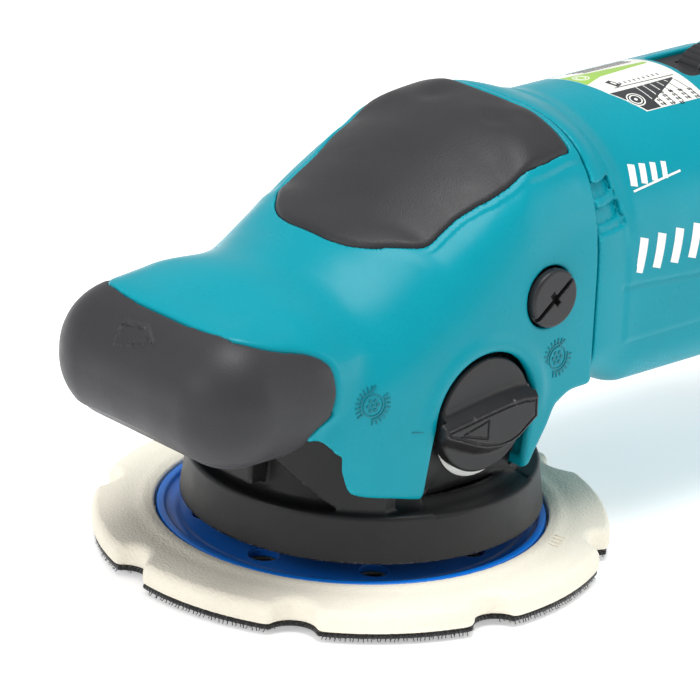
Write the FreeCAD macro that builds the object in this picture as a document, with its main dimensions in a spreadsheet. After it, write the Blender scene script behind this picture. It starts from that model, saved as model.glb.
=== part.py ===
import FreeCAD, Part
import math
import os
import Sketcher

# Cordless dual action polisher, in millimetres. +Z is up. The origin lies on the axis of
# the crankshaft, in the plane of the hook face under the backing pad. The front grip
# points towards -Y, the battery towards +Y, and the mode knob is on the +X side.

V = FreeCAD.Vector
doc = FreeCAD.newDocument("dual_action_polisher")
sheet = doc.addObject("Spreadsheet::Sheet", "Sizes")
NODES = []


class Size:
    """A length that carries its number and the spreadsheet formula behind it."""

    def __init__(self, number, formula):
        self.number = number
        self.formula = formula

    def __add__(self, other):
        other = as_size(other)
        return Size(self.number + other.number, f"({self.formula} + {other.formula})")

    def __sub__(self, other):
        other = as_size(other)
        return Size(self.number - other.number, f"({self.formula} - {other.formula})")

    def __mul__(self, factor):
        return Size(self.number * factor, f"({self.formula} * {factor!r})")

    def __truediv__(self, factor):
        return self * (1.0 / factor)

    def __neg__(self):
        return self * -1.0

    __radd__ = __add__
    __rmul__ = __mul__

    def __rsub__(self, other):
        return as_size(other) - self


def as_size(length):
    if isinstance(length, Size):
        return length
    return Size(float(length), repr(float(length)))


next_row = 1


def size(alias, number):
    """Put one driving dimension in the sheet and hand back its Size."""
    global next_row
    cell = f"A{next_row}"
    next_row += 1
    sheet.set(cell, str(number))
    sheet.setAlias(cell, alias)
    return Size(float(number), f"Sizes.{alias}")


# ---- driving dimensions -------------------------------------------------------------

pad_radius = size("pad_radius", 75)
hook_thickness = size("hook_thickness", 2.6)
foam_top = size("foam_top", 11)
hub_radius = size("hub_radius", 56.4)
notch_count = 8
orbit_offset = size("orbit_offset", 2.75)
orbit_angle = 205
gear_module = 1.375
pad_teeth = 35
ring_teeth = 39
gear_bottom = size("gear_bottom", 17.5)
gear_face = size("gear_face", 6)
sleeve_bore = size("sleeve_bore", 29.4)
sleeve_wall = size("sleeve_wall", 2.6)
cup_radius = size("cup_radius", 19)
crank_neck = size("crank_neck", 8.5)
crank_tail = size("crank_tail", 5)
motor_height = size("motor_height", 84)
bevel_pinion_teeth = 9
bevel_gear_teeth = 33
bevel_module = 1.5
skirt_radius = size("skirt_radius", 52.5)
skirt_bottom = size("skirt_bottom", 14.6)
skirt_rim = size("skirt_rim", 28.5)
shell_wall = size("shell_wall", 3)
seam = size("seam", 46.3)
barrel_radius = size("barrel_radius", 43)
barrel_centre = size("barrel_centre", 80)
barrel_bottom = size("barrel_bottom", 45)
barrel_end = size("barrel_end", 152)
handle_end = size("handle_end", 279)
stator_radius = size("stator_radius", 29)
knob_along = size("knob_along", 4.2)
knob_height = size("knob_height", 52.6)
knob_radius = size("knob_radius", 17)
knob_face = size("knob_face", 45.2)
battery_depth = size("battery_depth", 62)
battery_width = size("battery_width", 75)
battery_length = size("battery_length", 114)
battery_bottom = size("battery_bottom", 30)
running = size("running", 0.03)

orbit_x = Size(
    orbit_offset.number * math.cos(math.radians(orbit_angle)),
    f"({orbit_offset.formula} * cos({orbit_angle} deg))",
)
orbit_y = Size(
    orbit_offset.number * math.sin(math.radians(orbit_angle)),
    f"({orbit_offset.formula} * sin({orbit_angle} deg))",
)
PAD_AXIS = (orbit_x, orbit_y)
CRANK_AXIS = (0, 0)
TURN = {
    "z": FreeCAD.Rotation(),
    "y": FreeCAD.Rotation(V(1, 0, 0), -90),
    "x": FreeCAD.Rotation(V(0, 1, 0), 90),
}


# ---- building blocks ----------------------------------------------------------------

def bind(thing, name, length):
    """Set one property, from the sheet where the length is a Size."""
    length = as_size(length)
    if not name.startswith("Placement."):
        setattr(thing, name, length.number)
    thing.setExpression(name, length.formula)


def place(thing, origin, rotation=None):
    origin = [as_size(length) for length in origin]
    thing.Placement = FreeCAD.Placement(V(*[part.number for part in origin]), rotation or TURN["z"])
    for letter, part in zip("xyz", origin):
        bind(thing, f"Placement.Base.{letter}", part)
    return thing


def node(label, thing):
    """Name a finished sub-part; its label is also its file name."""
    thing.Label = label
    NODES.append(thing)
    return thing


def cylinder(radius, length, origin=(0, 0, 0), axis="z", sweep=360):
    rod = doc.addObject("Part::Cylinder", "Rod")
    bind(rod, "Radius", radius)
    bind(rod, "Height", length)
    rod.Angle = sweep
    return place(rod, origin, TURN[axis])


def box(low, high):
    """A block between two corners."""
    block = doc.addObject("Part::Box", "Block")
    for name, start, end in zip(("Length", "Width", "Height"), low, high):
        bind(block, name, as_size(end) - start)
    return place(block, low)


def fuse(*parts):
    union = doc.addObject("Part::MultiFuse", "Union")
    union.Shapes = list(parts)
    union.Refine = True
    return union


def cut(base, *tools):
    result = doc.addObject("Part::Cut", "Cut")
    result.Base = base
    result.Tool = tools[0] if len(tools) == 1 else fuse(*tools)
    return result


def common(first, second):
    result = doc.addObject("Part::Common", "Common")
    result.Base = first
    result.Tool = second
    return result


def group(*parts):
    """Identical fasteners kept together as separate solids."""
    bundle = doc.addObject("Part::Compound", "Group")
    bundle.Links = list(parts)
    return bundle


def rounded(thing, radius, chosen):
    """Fillet the edges whose middle point passes the test."""
    doc.recompute()
    fillet = doc.addObject("Part::Fillet", "Rounded")
    fillet.Base = thing
    picked = []
    for number, edge in enumerate(thing.Shape.Edges, 1):
        middle = edge.valueAt((edge.FirstParameter + edge.LastParameter) / 2)
        if chosen(middle):
            picked.append((number, radius, radius))
    fillet.Edges = picked
    return fillet


def feature(shape):
    solid = doc.addObject("Part::Feature", "Solid")
    solid.Shape = shape
    return solid


def shape_of(thing):
    doc.recompute()
    return thing.Shape


def origin_plane(body, role):
    for plane in body.Origin.OriginFeatures:
        if plane.Role == role:
            return plane
    raise ValueError(role)


def new_sketch(body, role, lift=0):
    sketch = body.newObject("Sketcher::SketchObject", "Outline")
    sketch.AttachmentSupport = [(origin_plane(body, role), "")]
    sketch.MapMode = "FlatFace"
    if not isinstance(lift, int):
        sketch.setExpression("AttachmentOffset.Base.z", as_size(lift).formula)
    return sketch


def pin_point(sketch, line, end, place_2d):
    """Hold one end of a line at its coordinates, driven by the sheet."""
    for kind, axis, length in zip(("DistanceX", "DistanceY"), (-2, -1), place_2d):
        length = as_size(length)
        if abs(length.number) < 1e-9:
            sketch.addConstraint(Sketcher.Constraint("PointOnObject", line, end, axis))
        else:
            held = Sketcher.Constraint(kind, -1, 1, line, end, length.number)
            index = sketch.addConstraint(held)
            sketch.setExpression(f"Constraints[{index}]", length.formula)


def polygon(sketch, points):
    corners = [V(as_size(a).number, as_size(b).number, 0) for a, b in points]
    count = len(points)
    lines = [Part.LineSegment(corners[i], corners[(i + 1) % count]) for i in range(count)]
    sketch.addGeometry(lines, False)
    for i in range(count):
        sketch.addConstraint(Sketcher.Constraint("Coincident", i, 2, (i + 1) % count, 1))
    for i in range(count):
        pin_point(sketch, i, 1, points[i])


def circle(sketch, radius, centre=(0, 0)):
    x, y = [as_size(length) for length in centre]
    radius = as_size(radius)
    number = sketch.addGeometry(Part.Circle(V(x.number, y.number, 0), V(0, 0, 1), radius.number), False)
    if abs(x.number) + abs(y.number) < 1e-9:
        sketch.addConstraint(Sketcher.Constraint("Coincident", number, 3, -1, 1))
    else:
        pin_point(sketch, number, 3, (x, y))
    index = sketch.addConstraint(Sketcher.Constraint("Radius", number, radius.number))
    sketch.setExpression(f"Constraints[{index}]", radius.formula)


def turned(outline, origin=(0, 0, 0), axis="z"):
    """A body of revolution; the outline gives (radius, height along the axis) corners."""
    body = doc.addObject("PartDesign::Body", "Turned")
    sketch = new_sketch(body, "XZ_Plane")
    polygon(sketch, outline)
    turning = body.newObject("PartDesign::Revolution", "Turning")
    turning.Profile = sketch
    turning.ReferenceAxis = (sketch, ["V_Axis"])
    turning.Angle = 360
    sketch.Visibility = False
    return place(body, origin, TURN[axis])


def plate(draw, thickness, origin=(0, 0, 0), axis="z"):
    """A body padded from a sketch that the draw function fills in."""
    body = doc.addObject("PartDesign::Body", "Plate")
    sketch = new_sketch(body, "XY_Plane")
    draw(sketch)
    pad = body.newObject("PartDesign::Pad", "Thickness")
    pad.Profile = sketch
    bind(pad, "Length", thickness)
    return place(body, origin, TURN[axis])


def ring_of_holes(body, radius, centre, count):
    """Pocket one hole through all and repeat it round the body's axis."""
    doc.recompute()
    before = body.Shape.Volume
    sketch = new_sketch(body, "XY_Plane")
    circle(sketch, radius, centre)
    pocket = body.newObject("PartDesign::Pocket", "Opening")
    pocket.Profile = sketch
    pocket.Type = "ThroughAll"
    pocket.Midplane = True
    pattern = body.newObject("PartDesign::PolarPattern", "Around")
    pattern.Originals = [pocket]
    pattern.Axis = (sketch, ["N_Axis"])
    pattern.Angle = 360
    pattern.Occurrences = count
    body.Tip = pattern
    doc.recompute()
    if body.Shape.Volume >= before - 0.01:
        raise ValueError("the openings cut nothing")
    return body


def bearing(bore, outside, width, origin, axis="z"):
    """Sealed ball bearing with the shield grooves on both faces."""
    race = (outside - bore) / 4
    groove = as_size(0.4)
    return turned([
        (bore, 0), (bore + race, 0), (bore + race, groove), (outside - race, groove),
        (outside - race, 0), (outside, 0), (outside, width), (outside - race, width),
        (outside - race, width - groove), (bore + race, width - groove),
        (bore + race, width), (bore, width),
    ], origin, axis)


def screw(head_radius, head_height, shank_radius, shank_length, origin, axis="z", flip=False):
    """Pan head screw; the head sits on the far end of the shank unless flipped."""
    sign = -1 if flip else 1
    origin = [as_size(part) for part in origin]
    along = "xyz".index(axis)
    start = list(origin)
    head = list(origin)
    if flip:
        start[along] = origin[along] - shank_length
        head[along] = start[along] - head_height
    else:
        head[along] = origin[along] + shank_length
    shank = cylinder(shank_radius, shank_length, start, axis)
    cap = cylinder(head_radius, head_height, head, axis)
    slot_low = [part - as_size(head_radius) * 0.6 for part in head]
    slot_high = [part + as_size(head_radius) * 0.6 for part in head]
    across = (along + 1) % 3
    slot_low[across] = head[across] - 0.35
    slot_high[across] = head[across] + 0.35
    slot_low[along] = head[along] + (head_height * 0.4 if sign > 0 else -1)
    slot_high[along] = head[along] + (head_height + 1 if sign > 0 else head_height * 0.6)
    return cut(fuse(shank, cap), box(slot_low, slot_high))


# ---- backing pad --------------------------------------------------------------------

def notched_disc(thickness, height):
    disc = plate(lambda sketch: circle(sketch, pad_radius), thickness, (*PAD_AXIS, height))
    return disc


def pad_notches(body):
    """Rounded scallops round the rim."""
    start = math.radians(306)
    reach = pad_radius + 1.2
    centre = (reach * math.cos(start), reach * math.sin(start))
    return ring_of_holes(body, 6.4, centre, notch_count)


def make_pad():
    hooks = notched_disc(hook_thickness - 0.02, 0)
    node("hook_layer", cut(pad_notches(hooks), cylinder(9, 20, (*PAD_AXIS, -5))))

    edge = pad_radius
    foam = turned([
        (9, hook_thickness), (edge - 0.8, hook_thickness), (edge, hook_thickness + 1), (edge, foam_top - 4),
        (edge - 1.4, foam_top - 1.2), (edge - 4.5, foam_top), (hub_radius + 3.4, foam_top + 0.4),
        (hub_radius + 0.6, foam_top - 0.6), (hub_radius + 0.6, 5.4), (9, 5.4),
    ], (*PAD_AXIS, 0))
    node("pad_foam", pad_notches(foam))

    hub = turned([
        (8, 5.4), (hub_radius, 5.4), (hub_radius, foam_top - 0.9), (hub_radius - 2, foam_top - 0.9),
        (hub_radius - 4, 8), (24, 8), (19, 11), (11, 11), (11, 14.4), (6.03, 14.4), (6.03, 11), (8, 11),
    ], (*PAD_AXIS, 0))
    start = math.radians(282)
    node("pad_hub", ring_of_holes(hub, 4, (42 * math.cos(start), 42 * math.sin(start)), 8))

    node("pad_washer", turned([(4.2, 9.4), (7.9, 9.4), (7.9, 11), (4.2, 11)], (*PAD_AXIS, 0)))
    head = turned([(0, 4.6), (6.6, 4.6), (6.6, 9.4), (4, 9.4), (4, 30), (0, 30)], (*PAD_AXIS, 0))
    socket = doc.addObject("Part::Prism", "Socket")
    socket.Polygon = 6
    socket.Circumradius = 3.4
    socket.Height = 3.4
    node("pad_bolt", cut(head, place(socket, (*PAD_AXIS, 4.2))))


def gear_outline(teeth, module, tip, root, thin):
    """Corners of one straight-flanked tooth about the +X axis, as (x, y) pairs."""
    pitch = module * teeth / 2
    half = module * math.pi / 4 - thin
    slope = math.tan(math.radians(20))
    corners = []
    for radius in (root, tip):
        width = half - (radius - pitch) * slope
        corners.append((radius, width))
    (low, low_half), (high, high_half) = corners
    return [(low, -low_half), (high, -high_half), (high, high_half), (low, low_half)]


def toothed(body, outline, teeth, lift, depth, inside):
    """Add teeth to a disc, or cut tooth spaces in a ring, and repeat them."""
    doc.recompute()
    before = body.Shape.Volume
    sketch = new_sketch(body, "XY_Plane", lift)
    polygon(sketch, outline)
    kind = "PartDesign::Pocket" if inside else "PartDesign::Pad"
    tooth = body.newObject(kind, "Tooth")
    tooth.Profile = sketch
    bind(tooth, "Length", depth)
    if inside:
        tooth.Reversed = True
    pattern = body.newObject("PartDesign::PolarPattern", "Teeth")
    pattern.Originals = [tooth]
    pattern.Axis = (sketch, ["N_Axis"])
    pattern.Angle = 360
    pattern.Occurrences = teeth
    body.Tip = pattern
    doc.recompute()
    grown = body.Shape.Volume - before
    if (grown > -1) == inside:
        raise ValueError("the teeth point the wrong way")
    return body


def make_pad_spindle():
    bore = as_size(4.02)
    node("pad_spindle", turned([
        (bore, 11.02), (6, 11.02), (6, gear_bottom - 2.9), (8, gear_bottom - 2.9), (8, gear_bottom),
        (7, gear_bottom), (7, gear_bottom + gear_face + 1.3), (6, gear_bottom + gear_face + 1.3),
        (6, 43.5), (0, 43.5), (0, 30.3), (bore, 30.3),
    ], (*PAD_AXIS, 0)))
    pitch = gear_module * pad_teeth / 2
    root = pitch - 1.15
    disc = plate(
        lambda sketch: (circle(sketch, root), circle(sketch, 7.02)),
        gear_face, (*PAD_AXIS, gear_bottom),
    )
    outline = gear_outline(pad_teeth, gear_module, pitch + 0.55, root - 0.4, 0.22)
    gear = toothed(disc, outline, pad_teeth, 0, gear_face, False)
    gear.Placement = FreeCAD.Placement(gear.Placement.Base, FreeCAD.Rotation(V(0, 0, 1), orbit_angle))
    node("pad_gear", gear)


# ---- crankshaft ---------------------------------------------------------------------

CUP_BOTTOM = 26.2
CUP_TOP = 45
MAIN_BEARING = 46.5
TOP_BEARING = 92.4
APEX = motor_height
COLLAR_SCREW = 18.4
LEVER = 4.2
CAM_REACH = 4.1
CAM_REST = math.radians(-102.5)


def make_crank():
    shaft = turned([
        (0, CUP_BOTTOM), (cup_radius, CUP_BOTTOM), (cup_radius, CUP_TOP), (11, CUP_TOP), (11, MAIN_BEARING - 0.3),
        (crank_neck, MAIN_BEARING - 0.3), (crank_neck, 61), (8, 61), (8, 74.2), (crank_tail, 75.6),
        (crank_tail, 98), (crank_tail - 0.8, 98.8), (0, 98.8),
    ])
    bore = cylinder(14.01, 17.4, (*PAD_AXIS, CUP_BOTTOM - 0.1))
    keyway = box((6.4, -1.5, 62), (9, 1.5, 72))
    node("crankshaft", cut(shaft, bore, keyway))
    node("drive_key", box((6.42, -1.48, 62.05), (9.4, 1.48, 71.95)))

    lower = bearing(as_size(6) + running, 14, 8, (*PAD_AXIS, CUP_BOTTOM + 0.4))
    upper = bearing(as_size(6) + running, 14, 8, (*PAD_AXIS, CUP_BOTTOM + 8.6))
    node("orbit_bearings", group(lower, upper))

    weight = cylinder(sleeve_bore - 1, 9.5, (0, 0, 34), "z", 200)
    weight.Placement = FreeCAD.Placement(
        weight.Placement.Base, FreeCAD.Rotation(V(0, 0, 1), orbit_angle + 180 - 100))
    band = cylinder(cup_radius + 2.6, 9.5, (0, 0, 34))
    hole = cylinder(cup_radius + 0.02, 12, (0, 0, 33))
    node("counterweight", cut(fuse(weight, band), hole))


def bevel_teeth(teeth, mate, face, thin, up):
    """Straight bevel teeth on their root cone, apex at the origin and axis +Z."""
    own = math.atan2(teeth, mate)
    cone = bevel_module * math.hypot(teeth, mate) / 2
    shapes = []
    half_angle = math.pi / (2 * teeth)
    for number in range(teeth):
        turn = 2 * math.pi * (number + up) / teeth
        wires = []
        for length in (cone, cone - face):
            points = []
            for lift, squeeze, side in ((-0.62, 1.32, -1), (0.42, 0.62, -1), (0.42, 0.62, 1), (-0.62, 1.32, 1)):
                tilt = own + math.atan2(lift * bevel_module, cone)
                swing = turn + side * (half_angle * squeeze - thin / (bevel_module * teeth))
                radius = length * math.sin(tilt)
                points.append(V(radius * math.cos(swing), radius * math.sin(swing), length * math.cos(tilt)))
            wires.append(Part.makePolygon(points + points[:1]))
        shapes.append(Part.makeLoft(wires, True, True))
    return shapes, own, cone


def bevel_wheel(teeth, mate, face, thin, up, back, bore):
    shapes, own, cone = bevel_teeth(teeth, mate, face, thin, up)
    root = own - math.atan2(0.55 * bevel_module, cone)
    inner = cone - face
    outline = [
        V(bore, 0, inner * math.cos(root)), V(inner * math.sin(root), 0, inner * math.cos(root)),
        V(cone * math.sin(root), 0, cone * math.cos(root)), V(cone * math.sin(root) - 1, 0, back),
        V(bore, 0, back),
    ]
    blank = Part.Face(Part.makePolygon(outline + outline[:1])).revolve(V(0, 0, 0), V(0, 0, 1), 360)
    return blank.multiFuse(shapes)


def make_bevel_gears():
    gear = bevel_wheel(bevel_gear_teeth, bevel_pinion_teeth, 8, 0.55, 0.5, 18, 8.02)
    wheel = feature(gear)
    wheel.Placement = FreeCAD.Placement(V(0, 0, APEX.number), FreeCAD.Rotation(V(1, 0, 0), 180))
    hub = cylinder(14, 6, (0, 0, 61.2))
    keyway = box((7, -1.5, 60), (9.42, 1.5, 73))
    node("bevel_gear", cut(fuse(wheel, hub), cylinder(8.02, 30, (0, 0, 55)), keyway))
    pinion = bevel_wheel(bevel_pinion_teeth, bevel_gear_teeth, 8, 0.55, 0.0, 27, 3.0)
    drive = feature(pinion)
    drive.Placement = FreeCAD.Placement(V(0, 0, APEX.number), TURN["y"])
    node("bevel_pinion", cut(drive, cylinder(3.52, 40, (0, 0, APEX), "y")))


# ---- gear case and mode change ------------------------------------------------------

def make_gear_case():
    node("main_bearing", bearing(crank_neck + running, 20, 12, (0, 0, MAIN_BEARING)))
    node("top_bearing", bearing(crank_tail + running, 11, 6, (0, 0, TOP_BEARING)))
    node("dust_seal", turned([(11.3, 45.3), (19, 45.3), (19, 46.3), (11.3, 46.3)]))

    reach = knob_radius + 1.3
    lug_slot = box((29.5, knob_along - reach, 34), (48, knob_along + reach, knob_height + reach + 2))
    carrier = turned([
        (20.02, 46.4), (24.5, 46.4), (24.5, 56), (41, 56), (41, 59.8), (12, 59.8), (12, 58.6), (20.02, 58.6),
    ])
    node("bearing_box", cut(carrier, lug_slot, *around(4, 36, 1.6, 50, 70, 45)))

    bowl = turned([
        (27.4, 60), (41, 60), (41, 64), (30, 64), (30, 87.5), (20, 93), (13.6, 98.9), (13.6, 101), (0, 101),
        (0, 98.9), (11.02, 98.9), (11.02, 92.1), (9, 92.1), (9, 89.5), (21, 87.5), (27.4, 83.5),
    ])
    neck = cylinder(21, 24, (0, 22, APEX), "y")
    collar = cylinder(29.2, 5, (0, 41, APEX), "y")
    inside = cylinder(27.4, 27.9, (0, 0, 60.1))
    solid_neck = cut(neck, inside)
    clearance = [cylinder(2.05, 30, (x, 30, APEX + up), "y")
                 for x in (-COLLAR_SCREW, COLLAR_SCREW) for up in (-COLLAR_SCREW, COLLAR_SCREW)]
    bearing_bore = cylinder(13.02, 45, (0, 20, APEX), "y")
    pinion_bore = cylinder(8, 12, (0, 10, APEX), "y")
    case = cut(fuse(bowl, solid_neck, collar), bearing_bore, pinion_bore, *clearance)
    node("gear_case", cut(case, lug_slot, *around(4, 36, 2.1, 55, 70, 45)))


def around(count, radius, hole, low, high, start):
    """Straight holes or rods spaced evenly round the crankshaft."""
    rods = []
    for i in range(count):
        angle = math.radians(start + 360 * i / count)
        rods.append(cylinder(hole, high - low, (radius * math.cos(angle), radius * math.sin(angle), low)))
    return rods


def make_ring_gear():
    outer = sleeve_bore + sleeve_wall
    pitch = gear_module * ring_teeth / 2
    tip = pitch - 0.55
    root = pitch + 1.0
    sleeve = turned([
        (tip, 0), (outer, 0), (outer, 28), (sleeve_bore, 28), (sleeve_bore, gear_face), (tip, gear_face),
    ], (0, 0, gear_bottom))
    half = gear_module * math.pi / 4 + 0.05
    slope = math.tan(math.radians(20))
    outline = [
        (tip - 0.6, half - (tip - 0.6 - pitch) * slope), (tip - 0.6, -half + (tip - 0.6 - pitch) * slope),
        (root, -half + (root - pitch) * slope), (root, half - (root - pitch) * slope),
    ]
    toothed(sleeve, outline, ring_teeth, 0, gear_face + 0.1, True)
    sleeve.Placement = FreeCAD.Placement(
        sleeve.Placement.Base, FreeCAD.Rotation(V(0, 0, 1), orbit_angle))
    lug = box((29.9, knob_along - 9, 36), (34, knob_along + 9, knob_height + 2.4))
    lug = cut(lug, cylinder(sleeve_bore + 0.9, 30, (0, 0, 34)))
    # The slot gives the pin room for the difference between its arc and a steady lift.
    slot = box((25, knob_along - 6.4, knob_height - 6.9), (40, knob_along + 6.4, knob_height - 1.1))
    node("ring_gear", cut(fuse(sleeve, lug), slot))


def make_mode_knob():
    back = knob_face - 4.6
    disc = turned([
        (0, 0), (knob_radius, 0), (knob_radius, 3.6), (knob_radius - 1, 4.6), (0, 4.6),
    ], (back, knob_along, knob_height), "x")
    leaf = [
        (-18.2, -1.4), (-12.4, -5), (-7.5, -7.2), (-2.6, -9), (2.3, -9.8), (6.8, -9.5), (10.3, -8.2), (14, -5.6),
        (16.6, -3), (16.4, 3.4), (11, 4.6), (5.2, 4.6), (-2.4, 3.8), (-10.5, 2.4), (-18.2, 1),
    ]
    corners = [V(knob_face.number - 1, knob_along.number + y, knob_height.number + z) for y, z in leaf]
    lever = feature(Part.Face(Part.makePolygon(corners + corners[:1])).extrude(V(LEVER + 1, 0, 0)))
    # Past the disc the lever's tips stand clear of the shell's edge.
    lever = cut(lever, turned([(knob_radius + 0.5, 0), (26, 0), (26, 2.4), (knob_radius + 0.5, 2.4)], (
        knob_face - 1.2, knob_along, knob_height), "x"))
    shaft = cylinder(6, 7, (knob_face - 10.8, knob_along, knob_height), "x")
    node("mode_knob", fuse(disc, lever, shaft))
    node("cam_pin", cylinder(1.9, 4.2, (
        knob_face - 15, knob_along + CAM_REACH * math.cos(CAM_REST), knob_height + CAM_REACH * math.sin(CAM_REST)), "x"))
    node("mode_ring", turned([(12.6, 0), (16.3, 0), (16.3, 0.7), (12.6, 0.7)], (
        back - 0.9, knob_along + 1.6, knob_height - 5.5), "x"))


def make_skirt():
    guide = sleeve_bore + sleeve_wall + 0.25
    shroud = turned([
        (skirt_radius - 2.6, skirt_bottom), (skirt_radius, skirt_bottom), (skirt_radius - 1.6, skirt_rim - 1),
        (skirt_radius - 3, skirt_rim), (44, 36), (41.5, 52.4), (39, 52.4), (41, 36), (41, 33),
        (guide + 2.4, 33), (guide + 2.4, 41), (guide, 41), (guide, 20), (guide + 2.4, 20), (guide + 2.4, 30),
        (skirt_radius - 5, 26),
    ])
    outside = knob_face - 5.7
    reach = knob_radius + 0.4
    tower = fuse(
        cylinder(reach, outside - 36.4, (36.4, knob_along, knob_height), "x"),
        box((36.4, knob_along - reach, 31), (outside, knob_along + reach, knob_height)))
    window = box((outside, knob_along - reach - 1, 30.5), (60, knob_along + reach + 1, 80))
    bore = cylinder(6.05, 30, (30, knob_along, knob_height), "x")
    lug_run = box((29, knob_along - 9.6, 35.2), (36.3, knob_along + 9.6, 64.5))
    boss = box((-9, -52, 26), (9, -42, 34))
    return cut(fuse(cut(shroud, window), tower, boss), bore, lug_run)


def slab(low, high):
    """Plain block between two corners, for the lofted shells."""
    return Part.makeBox(high[0] - low[0], high[1] - low[1], high[2] - low[2], V(*low))


# ---- head shells --------------------------------------------------------------------

PLUG = (27, 83)
CROWN = 1.8
FACET = 24


def arch(y, top, half_width, bottom, power, shoulder=78, roof=200):
    """Closed cross-section at one station: superelliptic top on straight legs."""
    points = []
    steps = 24
    for i in range(steps + 1):
        angle = math.pi * i / steps
        across = math.copysign(abs(math.cos(angle)) ** (2 / power), math.cos(angle))
        up = math.sin(angle) ** (2 / power) if 0 < i < steps else 0.0
        height = shoulder + (top - shoulder) * up
        crown = roof + CROWN * (1 - (half_width * across / FACET) ** 2)
        points.append(V(half_width * across, y, min(height, crown)))
    curve = Part.BSplineCurve()
    curve.interpolate(points)
    right = V(half_width, y, bottom)
    left = V(-half_width, y, bottom)
    return Part.Wire([
        curve.toShape(), Part.makeLine(points[-1], left), Part.makeLine(left, right),
        Part.makeLine(right, points[0]),
    ])


def dome(inset):
    """The head from behind the front grip to the seam, drawn in by the inset."""
    stations = [
        (-80, 85, 33, 2.0, 62, 200), (-64, 91, 37, 1.95, 62, 200), (-48, 93.5, 41.2, 1.9, 62.3, 200),
        (-32, 97.7, 43.8, 2.05, 64.6, 200), (-16, 106.7, 45.1, 2.15, 68.2, 102.2), (0, 117.7, 45.7, 2.35, 72, 110.6),
        (16, 125.4, 45.7, 2.63, 74.6, 119.2), (31, 128, 45.3, 2.86, 76.8, 124.4), (46.3, 126.7, 44.3, 3.05, 78, 200),
    ]
    first = -80 + inset
    wires = []
    for y, top, half_width, power, shoulder, roof in stations:
        wires.append(arch(max(y, first), top - inset, half_width - inset, 20, power, shoulder, roof - inset))
    return Part.makeLoft(wires, True, False)


def grip_form(inset):
    """Fully rounded bar across the front."""
    low = V(-41.1 + inset, -90.5 + inset, 47.5 + inset)
    block = Part.makeBox(82.2 - 2 * inset, 53 - 2 * inset, 40.6 - 2 * inset, low)
    return block.makeFillet(19.4 - inset, block.Edges)


def prism(axis, corners, start, end):
    """Straight prism along x or z through the given corners of the other two axes."""
    if axis == "x":
        points = [V(start, *corner) for corner in corners]
        along = V(end - start, 0, 0)
    else:
        points = [V(*corner, start) for corner in corners]
        along = V(0, 0, end - start)
    return Part.Face(Part.makePolygon(points + points[:1])).extrude(along)


def mirrored(half):
    """Close an outline about the YZ plane from its +X half."""
    return half + [(-x, y) for x, y in reversed(half)]


def make_head():
    wall = shell_wall.number
    seam_y = seam.number
    knob_y, knob_z = knob_along.number, knob_height.number
    side_profile = prism("x", [
        (-100, 58.5), (-56.4, 58.5), (-46, 43.8), (-42.2, 38.3), (-27.5, 34.1), (-14, 31.2), (4, 30), (22, 33),
        (25, 36.5), (29, 42), (33, 49), (40, 51.6), (60, 51.6), (60, 150), (-100, 150),
    ], -60, 60)
    outer = dome(0).common(side_profile).fuse(grip_form(0))
    inner = dome(wall).cut(slab((-60, -110, 10), (60, -50, 61.5))).cut(slab((-60, 32.6, 0), (60, 60, 54.6)))
    inner = inner.cut(slab((39, -60, 0), (60, 60, 50))).cut(slab((-60, -60, 0), (-39, 60, 50)))
    shell = outer.cut(inner.fuse(grip_form(wall)))
    reach = knob_radius.number + 1.2
    opening = Part.makeCylinder(reach, 30, V(30, knob_y, knob_z), V(1, 0, 0))
    opening = opening.fuse(Part.makeBox(30, 2 * reach, 40, V(30, knob_y - reach, knob_z - 40)))
    shell = shell.cut(opening)
    shell = shell.cut(Part.makeCylinder(18, 20, V(0, seam_y - 10, APEX.number), V(0, 1, 0)))
    for side in (1, -1):
        shell = shell.cut(Part.makeCylinder(9, 30, V(side * 30, *PLUG), V(side, 0, 0)))

    tongue = prism("z", mirrored([
        (14, -77.6), (27, -75), (32.6, -67.5), (36.3, -57), (39.2, -50.5), (41.8, -47), (60, -46.5),
    ]), 66, 120)
    front = prism("x", [(-110, 40), (-60, 40), (-54.6, 60), (-48.8, 65), (-47, 72), (-46.6, 120), (-110, 120)], -65, 65)
    grip_zone = front.cut(tongue)
    cap_zone = prism("z", mirrored([
        (6, -25), (12.5, -23.8), (18.5, -21), (24.6, -15.5), (30.2, -9.2), (30.3, 1.5), (33, 14), (33.8, 30), (33, 43.3),
    ]), 90, 140)
    skin = outer.cut(dome(2.2))
    grip = shell.common(grip_zone)
    cap = skin.common(cap_zone)
    shell = shell.cut(grip_zone).cut(cap)
    node("front_grip", feature(biggest(grip)))
    node("top_cap", feature(biggest(cap)))
    node("head_cover", feature(biggest(shell)))
    return shell.fuse([grip, cap])


def biggest(shape):
    """The main solid of a boolean result, refused if the boolean has lost it."""
    solid = max(shape.Solids, key=lambda one: one.Volume)
    if solid.Volume < 0.9 * shape.Volume:
        raise RuntimeError("a boolean has split a shell into pieces")
    return solid


def fused(first, second):
    """The union of two solids, refused if it holds less than either."""
    union = first.fuse(second)
    if union.Volume < max(first.Volume, second.Volume):
        raise RuntimeError("a fuse has lost material")
    return union


def make_plugs():
    plugs = []
    y, z = PLUG
    for side in (1, -1):
        body = turned([
            (0, 0), (7, 0), (7, 4.6), (8.7, 4.6), (8.7, 6.8), (7.9, 7.6), (0, 7.6),
        ], (40 * side, y, z), "x")
        body.Placement = FreeCAD.Placement(V(40 * side, y, z), FreeCAD.Rotation(V(0, 1, 0), 90 * side))
        ends = sorted((46 * side, 48 * side))
        plugs.append(cut(body, box((ends[0], y - 1.1, z - 9), (ends[1], y + 1.1, z + 9))))
    node("slotted_plugs", group(*plugs))


# ---- motor --------------------------------------------------------------------------

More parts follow.
